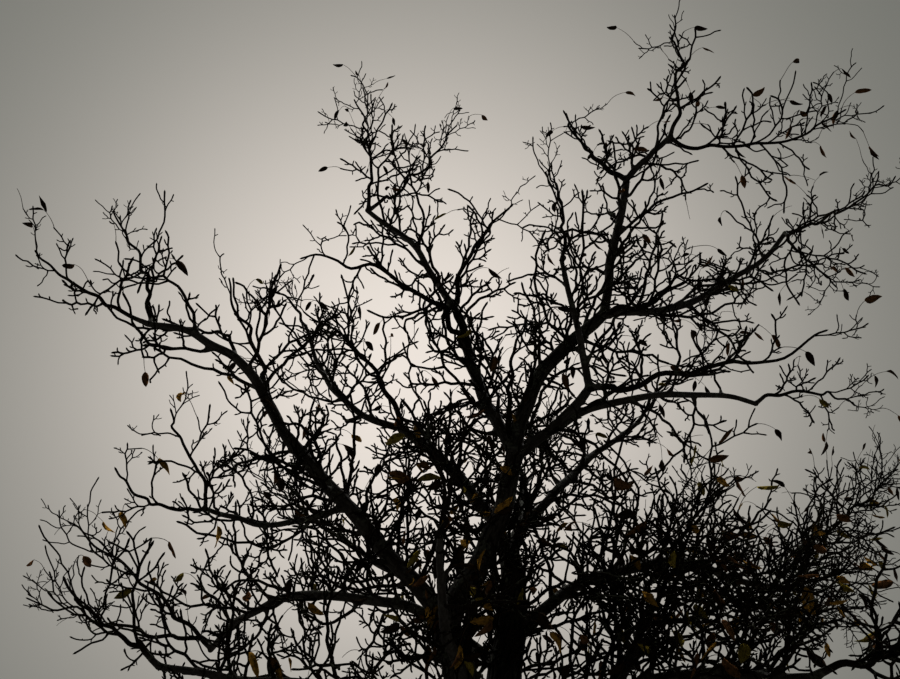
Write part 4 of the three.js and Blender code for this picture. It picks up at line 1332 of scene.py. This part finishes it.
def leaf_rings(foot, heading, long, size, dice):
    """Six points round the blade at each place along the midrib. The midrib is heading x place - curl x
    place squared, half the width is sin(pi place^0.8)^0.8, and the edges rise from the midrib by the
    fold."""
    across = unit(np.cross(heading, dice.swing_vector()))
    fold = LEAF_FOLD * (FOLD_SHARES[0] + FOLD_SHARES[1] * dice.roll())
    curl = LEAF_CURL * dice.swing()
    twist = LEAF_TWIST * dice.swing()
    ripple = 2 * math.pi * dice.roll()
    wide = LEAF_WIDE * size * (WIDE_SHARES[0] + WIDE_SHARES[1] * dice.roll())
    place = LEAF_PLACES
    turn = twist[:, None] * place
    face = np.cross(heading, across)
    side = np.cos(turn)[..., None] * across[:, None] + np.sin(turn)[..., None] * face[:, None]
    up = np.cross(np.broadcast_to(heading[:, None], side.shape), side)
    bent = (curl[:, None] * place**2)[..., None] * up
    rib = foot[:, None] + long[:, None, None] * (place[None, :, None] * heading[:, None] - bent)
    oval = np.sin(math.pi * place**LEAF_FULLNESS) ** LEAF_FULLNESS
    half = (wide * long)[:, None] * oval + LEAF_RIM
    wave = RIPPLE * np.sin(RIPPLE_WAVES * place + ripple[:, None])
    lift = fold[:, None, None] * RISE + wave[..., None] * ACROSS * np.abs(ACROSS)
    offset = (half[..., None] * ACROSS)[..., None] * side[:, :, None]
    offset = offset + (half[..., None] * lift + LEAF_THICK * THICK)[..., None] * up[:, :, None]
    rings = rib[:, :, None] + offset
    across_grain = np.broadcast_to(ACROSS, half.shape + (len(ACROSS),))
    along_grain = np.broadcast_to(place[None, :, None], across_grain.shape)
    number = np.broadcast_to(np.arange(len(foot))[:, None, None], across_grain.shape)
    return rings[:, :, ::-1], np.stack([across_grain, along_grain, number], axis=-1)[:, :, ::-1]


print("faces of a leaf:", (len(LEAF_PLACES) - 1) * len(ACROSS), "and two closed ends")

# %% [markdown]
# ## Hanging the leaves
# A stalk that isn't bare holds a leaf at its end, and often one or two more at the joints before it, as the
# leaflets of one leaf. They hang down, spread at random. Leaves low down are larger, since they are nearest
# to whoever stands under the tree, and high up more of them get the dark tint, as painted shade for leaves
# that stand dark against the bright sky.

# %% Hanging the leaves
LEAF_LONG, LEAF_LEAST = 0.125, 0.7

# The joints of a stalk that may hold a leaf, the chance of each, and how far its leaf turns from the
# stalk's way
STATIONS = ((STALK_STEPS, 1.0, 0.25), (STALK_STEPS - 1, 0.42, 0.9), (STALK_STEPS - 2, 0.25, 0.9))
STATION_SEED, LEAF_SEED_FACTOR = 10, 3
LEAF_SAG, LEAF_ROOM = 0.45, 0.004

# How much larger leaves are low down: fully below one height, and less over the metres above it
LOW_LEAF, LOW_UNDER, LOW_FADE = 1.25, 3.0, 2.4

# The tints and their shares, and how the shares move on to the darker ones, over the metres above a height,
# as painted shade high in the crown
TINTS = ("ochre", "olive", "brown", "dark")
TINT_SHARES = (0.30, 0.14, 0.30, 0.26)
PAINTED_SHADE_FROM, PAINTED_SHADE_OVER, PAINTED_SHADE_BY = 3.4, 2.0, 0.4

leaf_feet, leaf_headings, leaf_seeds = [], [], []
for station, chance, spread in STATIONS:
    dice = Dice(stalk_seed + STATION_SEED + station)
    has = ~bare & (dice.roll() < chance)
    way = unit(stalks[:, station] - stalks[:, station - 1])
    way = unit(way + spread * dice.swing_vector() + [0, 0, -LEAF_SAG])
    leaf_feet.append(stalks[has, station])
    leaf_headings.append(way[has])
    leaf_seeds.append(stalk_seed[has] * LEAF_SEED_FACTOR + station)
foot, heading = np.concatenate(leaf_feet), np.concatenate(leaf_headings)
dice = Dice(np.concatenate(leaf_seeds))
size = 1 + (LOW_LEAF - 1) * np.clip(1 - (foot[:, 2] - LOW_UNDER) / LOW_FADE, 0, 1)
long = LEAF_LONG * size * (LEAF_LEAST + (1 - LEAF_LEAST) * dice.roll())
rings, leaf_grain = leaf_rings(foot, heading, long, size, dice)
# Painted shade: high up, the shares move on to the darker tints, for leaves seen dark against the bright sky.
painted_shade = PAINTED_SHADE_BY * np.clip((foot[:, 2] - PAINTED_SHADE_FROM) / PAINTED_SHADE_OVER, 0, 1)
tint = np.searchsorted(np.cumsum(TINT_SHARES), dice.roll() + painted_shade)
low_edge, high_edge = np.array(solids_low) + LEAF_ROOM, np.array(solids_high) - LEAF_ROOM
inside = np.all((rings > low_edge) & (rings < high_edge), axis=(1, 2, 3))
leaf_pieces = []
for number, tint_name in enumerate(TINTS):
    mine = inside & (np.minimum(tint, len(TINTS) - 1) == number)
    leaf_pieces.append(add_piece("leaves_" + tint_name, skin_of(rings[mine], leaf_grain[mine])))
print(int(inside.sum()), "leaves,", sum(triangles_of(piece) for piece in leaf_pieces), "triangles")

# %% [markdown]
# ## Writing materials
# A material is a tree of nodes. Written out in full, each node takes three lines: to add it, to set it and
# to link it. These short helpers do all of that in one.

# %% Helpers for nodes
def add_node(tree, kind, inputs=None, **settings):
    """Adds a node. Each input takes either a value or the socket that feeds it."""
    node = tree.nodes.new(kind)
    for setting, value in settings.items():
        setattr(node, setting, value)
    for socket, value in (inputs or {}).items():
        if isinstance(value, bpy.types.NodeSocket):
            tree.links.new(value, node.inputs[socket])
        else:
            node.inputs[socket].default_value = value
    return node


def reckon(tree, operation, *values, clamp=False):
    """One step of arithmetic on numbers or sockets."""
    inputs = dict(enumerate(values))
    return add_node(tree, "ShaderNodeMath", inputs, operation=operation, use_clamp=clamp).outputs[0]


def reckon_vector(tree, operation, first, second):
    """One step of arithmetic on two vectors, or on a vector and the number that scales it."""
    inputs = {0: first, "Scale" if operation == "SCALE" else 1: second}
    return add_node(tree, "ShaderNodeVectorMath", inputs, operation=operation).outputs[0]


def blend(tree, factor, first, second):
    """A mix of two colours, each a socket or three numbers."""
    colours = [value if isinstance(value, bpy.types.NodeSocket) else (*value, 1) for value in (first, second)]
    inputs = {0: factor, 6: colours[0], 7: colours[1]}
    return add_node(tree, "ShaderNodeMix", inputs, data_type="RGBA").outputs[2]


def between(tree, value, low, high):
    """0 at low, 1 at high and a smooth step between them."""
    inputs = {"Value": value, "From Min": low, "From Max": high}
    return add_node(tree, "ShaderNodeMapRange", inputs, interpolation_type="SMOOTHSTEP").outputs["Result"]


def noise(tree, vector, scale, detail, roughness=0.5):
    """Soft noise with so many waves a metre, as a number or as a colour."""
    inputs = {"Vector": vector, "Scale": scale, "Detail": detail, "Roughness": roughness}
    return add_node(tree, "ShaderNodeTexNoise", inputs).outputs


def cells(tree, vector, scale, feature="F1"):
    """A Voronoi pattern with so many cells a metre."""
    return add_node(tree, "ShaderNodeTexVoronoi", {"Vector": vector, "Scale": scale}, feature=feature).outputs


def attribute(tree, name):
    """What a mesh keeps for each of its points under this name."""
    return add_node(tree, "ShaderNodeAttribute", attribute_type="GEOMETRY", attribute_name=name).outputs


# %% [markdown]
# ## Groups and materials
# What more than one material needs becomes a node group, with named inputs and outputs, built once and
# placed in each material with its own values. A group gives only colours, masks and heights. The Principled
# shader stays in the material that uses it, so each material starts from the same few lines.

# %% Helpers for groups and materials
def new_group(name, inputs, outputs):
    """A node group whose sockets have these names, kinds and starting values."""
    group = bpy.data.node_groups.new(name, "ShaderNodeTree")
    for socket, (kind, value) in inputs.items():
        made = group.interface.new_socket(socket, in_out="INPUT", socket_type="NodeSocket" + kind)
        if value is not None:
            made.default_value = value
    for socket in outputs:
        group.interface.new_socket(socket, in_out="OUTPUT", socket_type="NodeSocketFloat")
    return group, group.nodes.new("NodeGroupInput").outputs, group.nodes.new("NodeGroupOutput").inputs


def use_group(tree, group, inputs):
    """Places a group in a material or in another group."""
    return add_node(tree, "ShaderNodeGroup", inputs, node_tree=group).outputs


def new_material(name, roughness, specular):
    """A material with its Principled shader's own roughness and shine set."""
    material = bpy.data.materials.new(name)
    material.use_nodes = True
    surface = material.node_tree.nodes["Principled BSDF"]
    surface.inputs["Roughness"].default_value = roughness
    surface.inputs["Specular IOR Level"].default_value = specular
    return material, material.node_tree, surface.inputs


def add_bump(tree, surface, height, strength, distance):
    """Tilts the surface's normals as if a height of 1 stood out by that distance."""
    inputs = {"Strength": strength, "Distance": distance, "Height": height}
    bump = add_node(tree, "ShaderNodeBump", inputs)
    tree.links.new(bump.outputs["Normal"], surface["Normal"])


# %% [markdown]
# ## Cracked bark
# The mesh already has the big ridges. What is missing is the scale of a thumb: each ridge is broken across
# into plates, and each plate is rough. Cells of a Voronoi pattern, drawn out along the limb, have just that
# shape, and their distance to the nearest edge makes the cracks. A little noise bends the pattern first, or
# it looks like tiles.

# %% The group for cracked bark
# Shares of the height and of the tone, and how much finer the roughness is than the plates
PLATE_HEIGHT, ROUGH_HEIGHT = 0.6, 0.45
PLATE_TONE, ROUGH_TONE = 0.5, 0.5
ROUGH_FINER = 5.0


def make_cracked_bark():
    """Height is plate x its share + roughness x its share. Crack is 1 - plate. Tone differs from plate to
    plate."""
    group, given, result = new_group(
        "cracked_bark",
        {"Vector": ("Vector", None), "Plates per metre": ("Float", 30.0), "Stretch": ("Float", 3.0),
         "Crack width": ("Float", 0.1), "Bend": ("Float", 0.02)},
        ("Height", "Crack", "Tone"),
    )
    bend = noise(group, given["Vector"], 9.0, 3.0)["Color"]
    centred = reckon_vector(group, "SUBTRACT", bend, (0.5, 0.5, 0.5))
    shift = reckon_vector(group, "SCALE", centred, given["Bend"])
    bent = reckon_vector(group, "ADD", given["Vector"], shift)
    squeeze = reckon(group, "DIVIDE", 1.0, given["Stretch"])
    squeeze = add_node(group, "ShaderNodeCombineXYZ", {"X": 1.0, "Y": 1.0, "Z": squeeze}).outputs[0]
    drawn = reckon_vector(group, "MULTIPLY", bent, squeeze)
    edge = cells(group, drawn, given["Plates per metre"], "DISTANCE_TO_EDGE")["Distance"]
    tone = cells(group, drawn, given["Plates per metre"])["Color"]
    tone = add_node(group, "ShaderNodeSeparateColor", {"Color": tone}).outputs["Red"]
    plate = between(group, edge, 0.0, given["Crack width"])
    rough_scale = reckon(group, "MULTIPLY", given["Plates per metre"], ROUGH_FINER)
    rough = noise(group, drawn, rough_scale, 4.0)["Fac"]
    height = reckon(group, "MULTIPLY", plate, PLATE_HEIGHT)
    tone = reckon(group, "MULTIPLY", tone, PLATE_TONE)
    group.links.new(reckon(group, "MULTIPLY_ADD", rough, ROUGH_HEIGHT, height), result["Height"])
    group.links.new(reckon(group, "SUBTRACT", 1.0, plate), result["Crack"])
    group.links.new(reckon(group, "MULTIPLY_ADD", rough, ROUGH_TONE, tone), result["Tone"])
    return group


cracked_bark = make_cracked_bark()
print("group", cracked_bark.name, "gives", [item.name for item in cracked_bark.interface.items_tree][:3])

# %% [markdown]
# ## Lichen and moss
# Damp bark isn't clean. Round grey-green crusts of lichen sit on boughs and twigs alike, most of them on
# the upper side, where light and rain reach them, and moss is thickest near the ground. Both masks are
# noise with a threshold. Instead of painting them, more is added to the noise where the surface looks up,
# and for moss also near the ground, so that more of it passes the threshold there.

# %% The group for lichen and moss
# How much the input, the upper side, the ground, the crusts and the tufts count against the noise
INPUT_COUNTS = 0.2
UP_FOR_LICHEN, CRUST_COUNTS, LICHEN_STEP = 0.10, 0.22, (0.54, 0.60)
UP_FOR_MOSS, LOW_FOR_MOSS, TUFT_COUNTS, MOSS_STEP = 0.08, 0.22, 0.15, (0.78, 0.92)
MOSS_UP_TO = 2.6


def make_growths():
    """Each mask is a smooth step of patches + input + up, less the crusts for lichen, plus ground and tufts
    for moss."""
    group, given, result = new_group(
        "growths_on_bark",
        {"Position": ("Vector", None), "Normal": ("Vector", None),
         "Lichen": ("Float", 0.5), "Moss": ("Float", 0.5)},
        ("Lichen mask", "Moss mask"),
    )
    up = add_node(group, "ShaderNodeSeparateXYZ", {"Vector": given["Normal"]}).outputs["Z"]
    height = add_node(group, "ShaderNodeSeparateXYZ", {"Vector": given["Position"]}).outputs["Z"]
    patches = noise(group, given["Position"], 7.0, 5.0, 0.65)["Fac"]
    crusts = reckon(group, "MULTIPLY", cells(group, given["Position"], 38.0)["Distance"], CRUST_COUNTS)
    wanted = reckon(group, "MULTIPLY_ADD", given["Lichen"], INPUT_COUNTS, patches)
    wanted = reckon(group, "MULTIPLY_ADD", up, UP_FOR_LICHEN, wanted)
    lichen = reckon(group, "SUBTRACT", wanted, crusts)
    group.links.new(between(group, lichen, *LICHEN_STEP), result["Lichen mask"])
    low = reckon(group, "SUBTRACT", 1.0, reckon(group, "DIVIDE", height, MOSS_UP_TO), clamp=True)
    damp = reckon(group, "MULTIPLY_ADD", up, UP_FOR_MOSS, patches)
    damp = reckon(group, "MULTIPLY_ADD", low, LOW_FOR_MOSS, damp)
    damp = reckon(group, "MULTIPLY_ADD", noise(group, given["Position"], 60.0, 3.0)["Fac"], TUFT_COUNTS, damp)
    damp = reckon(group, "MULTIPLY_ADD", given["Moss"], INPUT_COUNTS, damp)
    group.links.new(between(group, damp, *MOSS_STEP), result["Moss mask"])
    return group


growths = make_growths()
print("group", growths.name, "is used by bark and twigs")

# %% [markdown]
# ## Bark of trunk and boughs
# Walnut-like bark is grey on the ridges, where the weather bleaches it, and nearly black in the furrows. Here
# all its tones are kept far darker than that grey, as painted shade for a tree that stands dark against a
# bright sky, and the near black of furrows and cracks is partly the bark's own darker furrows and partly
# painted shade in those recesses. The relief that moved the mesh was kept as an attribute, so the dark lies
# exactly in the furrows. Cracks only show on thick limbs: thin boughs still have smooth skin, so height and
# cracks fade with the limb's girth.

# %% Bark of trunk and boughs
# Near black: partly the own dark of furrows, cracks and wrinkles, partly painted shade in those recesses. The
# leaf stalks' streaks use it too.
FURROW_AND_SHADE = (0.005, 0.004, 0.003)
# The ridge tones are kept far darker than real bark: partly its own dark grey-brown, partly painted shade for
# a tree seen against a bright sky.
RIDGE_DARK, RIDGE_PALE = (0.024, 0.020, 0.016), (0.072, 0.064, 0.053)
LICHEN, LICHEN_PALE = (0.075, 0.080, 0.055), (0.130, 0.132, 0.100)
MOSS = (0.016, 0.022, 0.006)

# Shares of the full radius where bark begins to be old and is old, and the heights of the relief where the
# furrows' dark and painted shade ends and begins
OLD_STEP, FURROW_SHADE_STEP = (0.08, 0.6), (0.75, 0.25)

# How much a crack, a furrow and the plates' height show on young bark, and how much more on old bark
CRACK_SHOWS, FURROW_SHADE_SHOWS, HEIGHT_SHOWS = (0.1, 0.4), (0.3, 0.6), (0.2, 0.8)
LICHEN_COVERS, MOSS_COVERS = 0.8, 0.85
LICHEN_RISE, MOSS_RISE = 0.12, 0.5


def make_bark():
    """Ridge tone by plates and weather, then the near black of cracks and furrows, partly their own dark and
    partly painted shade in the recesses, then lichen, then moss.
    """
    material, tree, surface = new_material("bark", 0.92, 0.05)
    grain, relief, girth = (attribute(tree, name) for name in ("grain", "relief", "girth"))
    position = add_node(tree, "ShaderNodeTexCoord").outputs["Object"]
    normal = add_node(tree, "ShaderNodeNewGeometry").outputs["Normal"]
    cracks = {"Vector": grain["Vector"], "Plates per metre": 38.0, "Stretch": 4.2,
              "Crack width": 0.14, "Bend": 0.09}
    cracks = use_group(tree, cracked_bark, cracks)
    living = use_group(tree, growths, {"Position": position, "Normal": normal, "Lichen": 0.42, "Moss": 0.5})
    old = between(tree, girth["Fac"], *OLD_STEP)

    def shows(young, more):
        return reckon(tree, "MULTIPLY_ADD", old, more, young)

    weather = noise(tree, position, 2.3, 3.0)["Fac"]
    tone = reckon(tree, "MULTIPLY_ADD", cracks["Tone"], 0.7, reckon(tree, "MULTIPLY", weather, 0.5))
    ridge = blend(tree, between(tree, tone, 0.3, 0.85), RIDGE_DARK, RIDGE_PALE)
    # Cracks and furrows go towards near black: partly their own dark, partly painted shade in the recesses.
    crack = reckon(tree, "MULTIPLY", cracks["Crack"], shows(*CRACK_SHOWS))
    crack = reckon(tree, "MULTIPLY", crack, between(tree, weather, 0.3, 0.6))
    furrow_shade_mask = reckon(tree, "MULTIPLY", between(tree, relief["Fac"], *FURROW_SHADE_STEP), shows(*FURROW_SHADE_SHOWS))
    colour = blend(tree, reckon(tree, "MAXIMUM", crack, furrow_shade_mask), ridge, FURROW_AND_SHADE)
    crust = blend(tree, cracks["Tone"], LICHEN, LICHEN_PALE)
    colour = blend(tree, reckon(tree, "MULTIPLY", living["Lichen mask"], LICHEN_COVERS), colour, crust)
    colour = blend(tree, reckon(tree, "MULTIPLY", living["Moss mask"], MOSS_COVERS), colour, MOSS)
    tree.links.new(colour, surface["Base Color"])
    roughness = reckon(tree, "SUBTRACT", 0.95, reckon(tree, "MULTIPLY", tone, 0.15))
    tree.links.new(roughness, surface["Roughness"])
    height = reckon(tree, "MULTIPLY", cracks["Height"], shows(*HEIGHT_SHOWS))
    height = reckon(tree, "MULTIPLY_ADD", living["Moss mask"], MOSS_RISE, height)
    height = reckon(tree, "MULTIPLY_ADD", living["Lichen mask"], LICHEN_RISE, height)
    add_bump(tree, surface, height, 0.9, 0.007)
    return material


bark = make_bark()
print("bark has", len(bark.node_tree.nodes), "nodes")

# %% [markdown]
# ## Bark of branches and twigs
# Young bark is smooth and darker, with fine wrinkles along the twig and pale breathing pores. Its tones are
# kept far darker than real young bark, partly its own dark and partly painted shade for thin twigs seen
# against a bright sky, and the wrinkles' dark is partly painted shade in their creases. Wrinkles are the same
# cracked group with narrow, long plates. Pores are the middles of small Voronoi cells. Twigs this thin would
# sparkle against the sky if they had any shine, so theirs is none.

# %% Bark of branches and twigs
# Both tones are partly young bark's own dark and partly painted shade for thin twigs seen against a bright
# sky.
TWIG_DARK, TWIG_PALE = (0.010, 0.008, 0.006), (0.026, 0.020, 0.015)
PORE = (0.060, 0.050, 0.038)

# How large a pore is in its cell, and how much pores, wrinkles and lichen cover
PORE_STEP = (0.24, 0.14)
PORE_COVERS, WRINKLE_COVERS, TWIG_LICHEN_COVERS = 0.6, 0.5, 0.7


def make_twig_bark():
    """A tone that differs from wrinkle to wrinkle, then the wrinkles' dark, partly painted shade in their
    creases, then pores, then lichen.
    """
    material, tree, surface = new_material("twig_bark", 0.85, 0)
    grain = attribute(tree, "grain")["Vector"]
    position = add_node(tree, "ShaderNodeTexCoord").outputs["Object"]
    normal = add_node(tree, "ShaderNodeNewGeometry").outputs["Normal"]
    wrinkles = {"Vector": grain, "Plates per metre": 190.0, "Stretch": 6.0, "Crack width": 0.2, "Bend": 0.006}
    wrinkles = use_group(tree, cracked_bark, wrinkles)
    living = use_group(tree, growths, {"Position": position, "Normal": normal, "Lichen": 0.30, "Moss": 0.1})
    pore = between(tree, cells(tree, grain, 150.0)["Distance"], *PORE_STEP)
    pore = reckon(tree, "MULTIPLY", pore, PORE_COVERS)
    colour = blend(tree, wrinkles["Tone"], TWIG_DARK, TWIG_PALE)
    # The wrinkles go towards near black: partly their own dark, partly painted shade in the creases.
    colour = blend(tree, reckon(tree, "MULTIPLY", wrinkles["Crack"], WRINKLE_COVERS), colour, FURROW_AND_SHADE)
    colour = blend(tree, pore, colour, PORE)
    colour = blend(tree, reckon(tree, "MULTIPLY", living["Lichen mask"], TWIG_LICHEN_COVERS), colour, LICHEN)
    tree.links.new(colour, surface["Base Color"])
    add_bump(tree, surface, reckon(tree, "MULTIPLY_ADD", pore, 0.6, wrinkles["Height"]), 0.7, 0.0012)
    return material


twig_bark = make_twig_bark()
print("twig bark has", len(twig_bark.node_tree.nodes), "nodes")

# %% [markdown]
# ## Veins and blotches of dry leaves
# All dry leaves share a pale midrib, side veins that run forward to the edge, and dark blotches, so these
# are one group. The veins read the leaf's own grain, across from -1 to 1 and along from stalk to tip, and
# so they keep to the blade however it is folded. A pattern on plain coordinates would run straight through
# it.

# %% The group for leaf veins
VEIN_COUNT, VEIN_SLANT = 9.0, 2.6

# Where the midrib and a side vein end and begin, how strong a side vein is, and which noise makes a blotch
MIDRIB_STEP, SIDE_VEIN_STEP, SIDE_VEIN = (0.12, 0.04), (0.12, 0.03), 0.6
BLOTCH_STEP, BLOTCH_HEIGHT = (0.45, 0.65), 0.6


def make_leaf_veins():
    """A side vein runs where |fraction of (along x count - |across| x slant) - a half| is near zero."""
    group, given, result = new_group(
        "leaf_veins", {"Grain": ("Vector", None), "Position": ("Vector", None)}, ("Vein", "Blotch", "Height")
    )
    parts = add_node(group, "ShaderNodeSeparateXYZ", {"Vector": given["Grain"]}).outputs
    aside = reckon(group, "ABSOLUTE", parts["X"])
    midrib = between(group, aside, *MIDRIB_STEP)
    forward = reckon(group, "MULTIPLY", parts["Y"], VEIN_COUNT)
    slanted = reckon(group, "SUBTRACT", forward, reckon(group, "MULTIPLY", aside, VEIN_SLANT))
    wave = reckon(group, "ABSOLUTE", reckon(group, "SUBTRACT", reckon(group, "FRACT", slanted), 0.5))
    side_vein = reckon(group, "MULTIPLY", between(group, wave, *SIDE_VEIN_STEP), SIDE_VEIN)
    vein = reckon(group, "MAXIMUM", midrib, side_vein)
    blotch = noise(group, given["Position"], 45.0, 4.0, 0.6)["Fac"]
    group.links.new(vein, result["Vein"])
    group.links.new(between(group, blotch, *BLOTCH_STEP), result["Blotch"])
    group.links.new(reckon(group, "MULTIPLY_ADD", blotch, BLOTCH_HEIGHT, vein), result["Height"])
    return group


leaf_veins = make_leaf_veins()
print("veins on each side of a leaf:", int(VEIN_COUNT))

# %% [markdown]
# ## Withered leaves and their stalks
# Dry leaves run from ochre to nearly black. Each leaf has one tint, dealt out leaf by leaf when they were
# hung, so four materials differ in nothing but their colours. One material with a random colour would do as
# well, but the tints stay easier to tell apart as pieces. A stalk is thin and plain, with streaks along it.

# %% Withered leaves and their stalks
# The blade's tint and the tint of its blotches
LEAF_TINTS = {
    "ochre": ((0.340, 0.190, 0.030), (0.120, 0.062, 0.015)),
    "brown": ((0.135, 0.064, 0.024), (0.052, 0.026, 0.012)),
    "dark": ((0.030, 0.018, 0.010), (0.014, 0.009, 0.006)),
    "olive": ((0.230, 0.180, 0.028), (0.098, 0.064, 0.014)),
}
VEIN_PALER, VEIN_COVERS = 1.5, 0.6
STALK_COLOUR = (0.050, 0.032, 0.018)


def make_leaf(name, tint, blotch_tint):
    """Tint and blotches, with veins paler than the tint by one factor."""
    material, tree, surface = new_material("leaf_" + name, 0.85, 0)
    position = add_node(tree, "ShaderNodeTexCoord").outputs["Object"]
    veins = use_group(tree, leaf_veins, {"Grain": attribute(tree, "grain")["Vector"], "Position": position})
    colour = blend(tree, veins["Blotch"], tint, blotch_tint)
    pale = tuple(VEIN_PALER * part for part in tint)
    colour = blend(tree, reckon(tree, "MULTIPLY", veins["Vein"], VEIN_COVERS), colour, pale)
    tree.links.new(colour, surface["Base Color"])
    add_bump(tree, surface, veins["Height"], 0.6, 0.0012)
    return material


def make_stalk():
    """Streaks of noise between the furrow's dark and the stalk's brown."""
    material, tree, surface = new_material("leaf_stalk", 0.85, 0)
    streaks = noise(tree, attribute(tree, "grain")["Vector"], 60.0, 2.0)["Fac"]
    tree.links.new(blend(tree, streaks, FURROW_AND_SHADE, STALK_COLOUR), surface["Base Color"])
    return material


leaf_materials = {name: make_leaf(name, *tints) for name, tints in LEAF_TINTS.items()}
print(len(leaf_materials), "leaf tints")

# %% [markdown]
# ## Giving out the finishes
# Every piece rides on the one body that the tree is, and gets its one material.

# %% Giving out the finishes
def finish(piece, material):
    """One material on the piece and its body."""
    piece.data.materials.clear()
    piece.data.materials.append(material)
    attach(piece, "root")


for piece in bark_pieces:
    finish(piece, bark)
for piece in [*branch_pieces, *twig_pieces]:
    finish(piece, twig_bark)
for piece, name in zip(leaf_pieces, TINTS):
    finish(piece, leaf_materials[name])
finish(leaf_stalks, make_stalk())
print(len(bark_pieces) + len(branch_pieces) + len(twig_pieces) + len(leaf_pieces) + 1, "pieces finished")

# %% [markdown]
# ## The floor
# The floor is plain and pale, and reaches so far that its edge is lost in the sky. Light that bounces off
# it would brighten the tree from below, where the photograph shows it nearly black. So a Light Path node
# gives the floor one tone for the camera and a darker one for every other ray.

# %% The floor
FLOOR_RADIUS, FLOOR_CORNERS = 500, 128
FLOOR_SEEN, FLOOR_BOUNCE = (0.290, 0.284, 0.272), (0.150, 0.147, 0.141)


def camera_ray(tree):
    """1 for what the camera sees straight, 0 for all light that bounces."""
    return add_node(tree, "ShaderNodeLightPath").outputs["Is Camera Ray"]


def make_floor():
    """A flat disc: corner k lies at the radius x (cos, sin) of 2 pi k / corners."""
    turn = 2 * math.pi * np.arange(FLOOR_CORNERS) / FLOOR_CORNERS
    corners = FLOOR_RADIUS * np.stack([np.cos(turn), np.sin(turn), 0 * turn], axis=-1)
    mesh = bpy.data.meshes.new("floor")
    mesh.from_pydata(corners, [], [range(FLOOR_CORNERS)])
    floor = bpy.data.objects.new("floor", mesh)
    bpy.context.scene.collection.objects.link(floor)
    material, tree, surface = new_material("floor", 0.9, 0.1)
    tree.links.new(blend(tree, camera_ray(tree), FLOOR_BOUNCE, FLOOR_SEEN), surface["Base Color"])
    mesh.materials.append(material)


make_floor()
print("the floor reaches", FLOOR_RADIUS, "m")

# %% [markdown]
# ## Sky and suns
# The photograph looks up at the tree against a bright, overcast sky: nearly all light comes from behind it.
# So the sky glows behind the tree, is even round the glow and turns paler beyond the picture. What it
# throws on the tree is dimmer than what it shows, for the same reason as with the floor. Two soft suns
# stand high behind the tree. They leave the side that the camera sees dark and light up the bark for anyone
# who walks round.

# %% Sky and suns
SKY_EVEN, SKY_BRIGHT = (0.205, 0.212, 0.193), (0.877, 0.816, 0.758)
SKY_BEYOND, SKY_FILL = (0.455, 0.446, 0.425), (0.045, 0.046, 0.044)

# Where the middle of the glow is, how tight it is, and how many degrees from it the paler tone begins and
# is full
GLOW_HEADING, GLOW_RISE, GLOW_TIGHT = 92.4, 21, 17.9
BEYOND_FROM, BEYOND_FULL = 36, 66

# Each sun: heading, rise, strength and spread, which softens its shadows
SUNS = {"sun_main": (62, 44, 5.2, 20), "sun_side": (140, 30, 2.3, 40)}


def make_sky():
    """The sky is brighter by exp(tightness x (cos - 1)), where cos is that of the angle to the middle of
    the glow."""
    world = bpy.data.worlds.new("sky")
    bpy.context.scene.world = world
    world.use_nodes = True
    tree = world.node_tree
    way = add_node(tree, "ShaderNodeTexCoord").outputs["Generated"]
    glow = tuple(aim_vector(GLOW_HEADING, GLOW_RISE))
    cosine = add_node(tree, "ShaderNodeVectorMath", {0: way, 1: glow}, operation="DOT_PRODUCT")
    cosine = cosine.outputs["Value"]
    near = reckon(tree, "EXPONENT", reckon(tree, "MULTIPLY_ADD", cosine, GLOW_TIGHT, -GLOW_TIGHT))
    rim_full, rim_from = (math.cos(math.radians(angle)) for angle in (BEYOND_FULL, BEYOND_FROM))
    seen = blend(tree, between(tree, cosine, rim_full, rim_from), SKY_BEYOND, SKY_EVEN)
    even = blend(tree, camera_ray(tree), SKY_FILL, seen)
    colour = blend(tree, near, even, SKY_BRIGHT)
    tree.links.new(colour, tree.nodes["Background"].inputs["Color"])


def make_sun(name, heading, rise, strength, spread):
    """A sun lamp shines down its own -Z, so it is tipped by 90 degrees less the rise, and turned to its
    heading."""
    light = bpy.data.lights.new(name, "SUN")
    light.energy = strength
    light.angle = math.radians(spread)
    sun = bpy.data.objects.new(name, light)
    bpy.context.scene.collection.objects.link(sun)
    sun.rotation_euler = (math.radians(90 - rise), 0, math.radians(heading + 90))


make_sky()
for name, values in SUNS.items():
    make_sun(name, *values)
print(len(SUNS), "soft suns")

# %% [markdown]
# ## Camera
# The camera stands where a person would, a few steps from the tree with the eye at 1.6 m, and looks up. Its
# lens is set so that the crown fills the picture as it does in the photograph. The plain Standard tones
# keep the sky's grey as it was chosen, and a gamma under 1 makes the shadows deeper, as a camera does that
# looks into the light.

# %% Camera
CAMERA_PLACE = (-0.25, -7.5, 1.6)
CAMERA_PITCH = 23
CAMERA_LENS, CAMERA_SENSOR = 41.8, 36
TONE_GAMMA = 0.8
camera = bpy.data.objects.new("camera", bpy.data.cameras.new("camera"))
bpy.context.scene.collection.objects.link(camera)
camera.location = CAMERA_PLACE
camera.rotation_euler = (math.radians(90 + CAMERA_PITCH), 0, 0)
camera.data.lens = CAMERA_LENS
camera.data.sensor_width = CAMERA_SENSOR
bpy.context.scene.camera = camera
bpy.context.scene.view_settings.view_transform = "Standard"
bpy.context.scene.view_settings.gamma = TONE_GAMMA
print("camera", -CAMERA_PLACE[1], "m from the trunk, looking", CAMERA_PITCH, "degrees up")
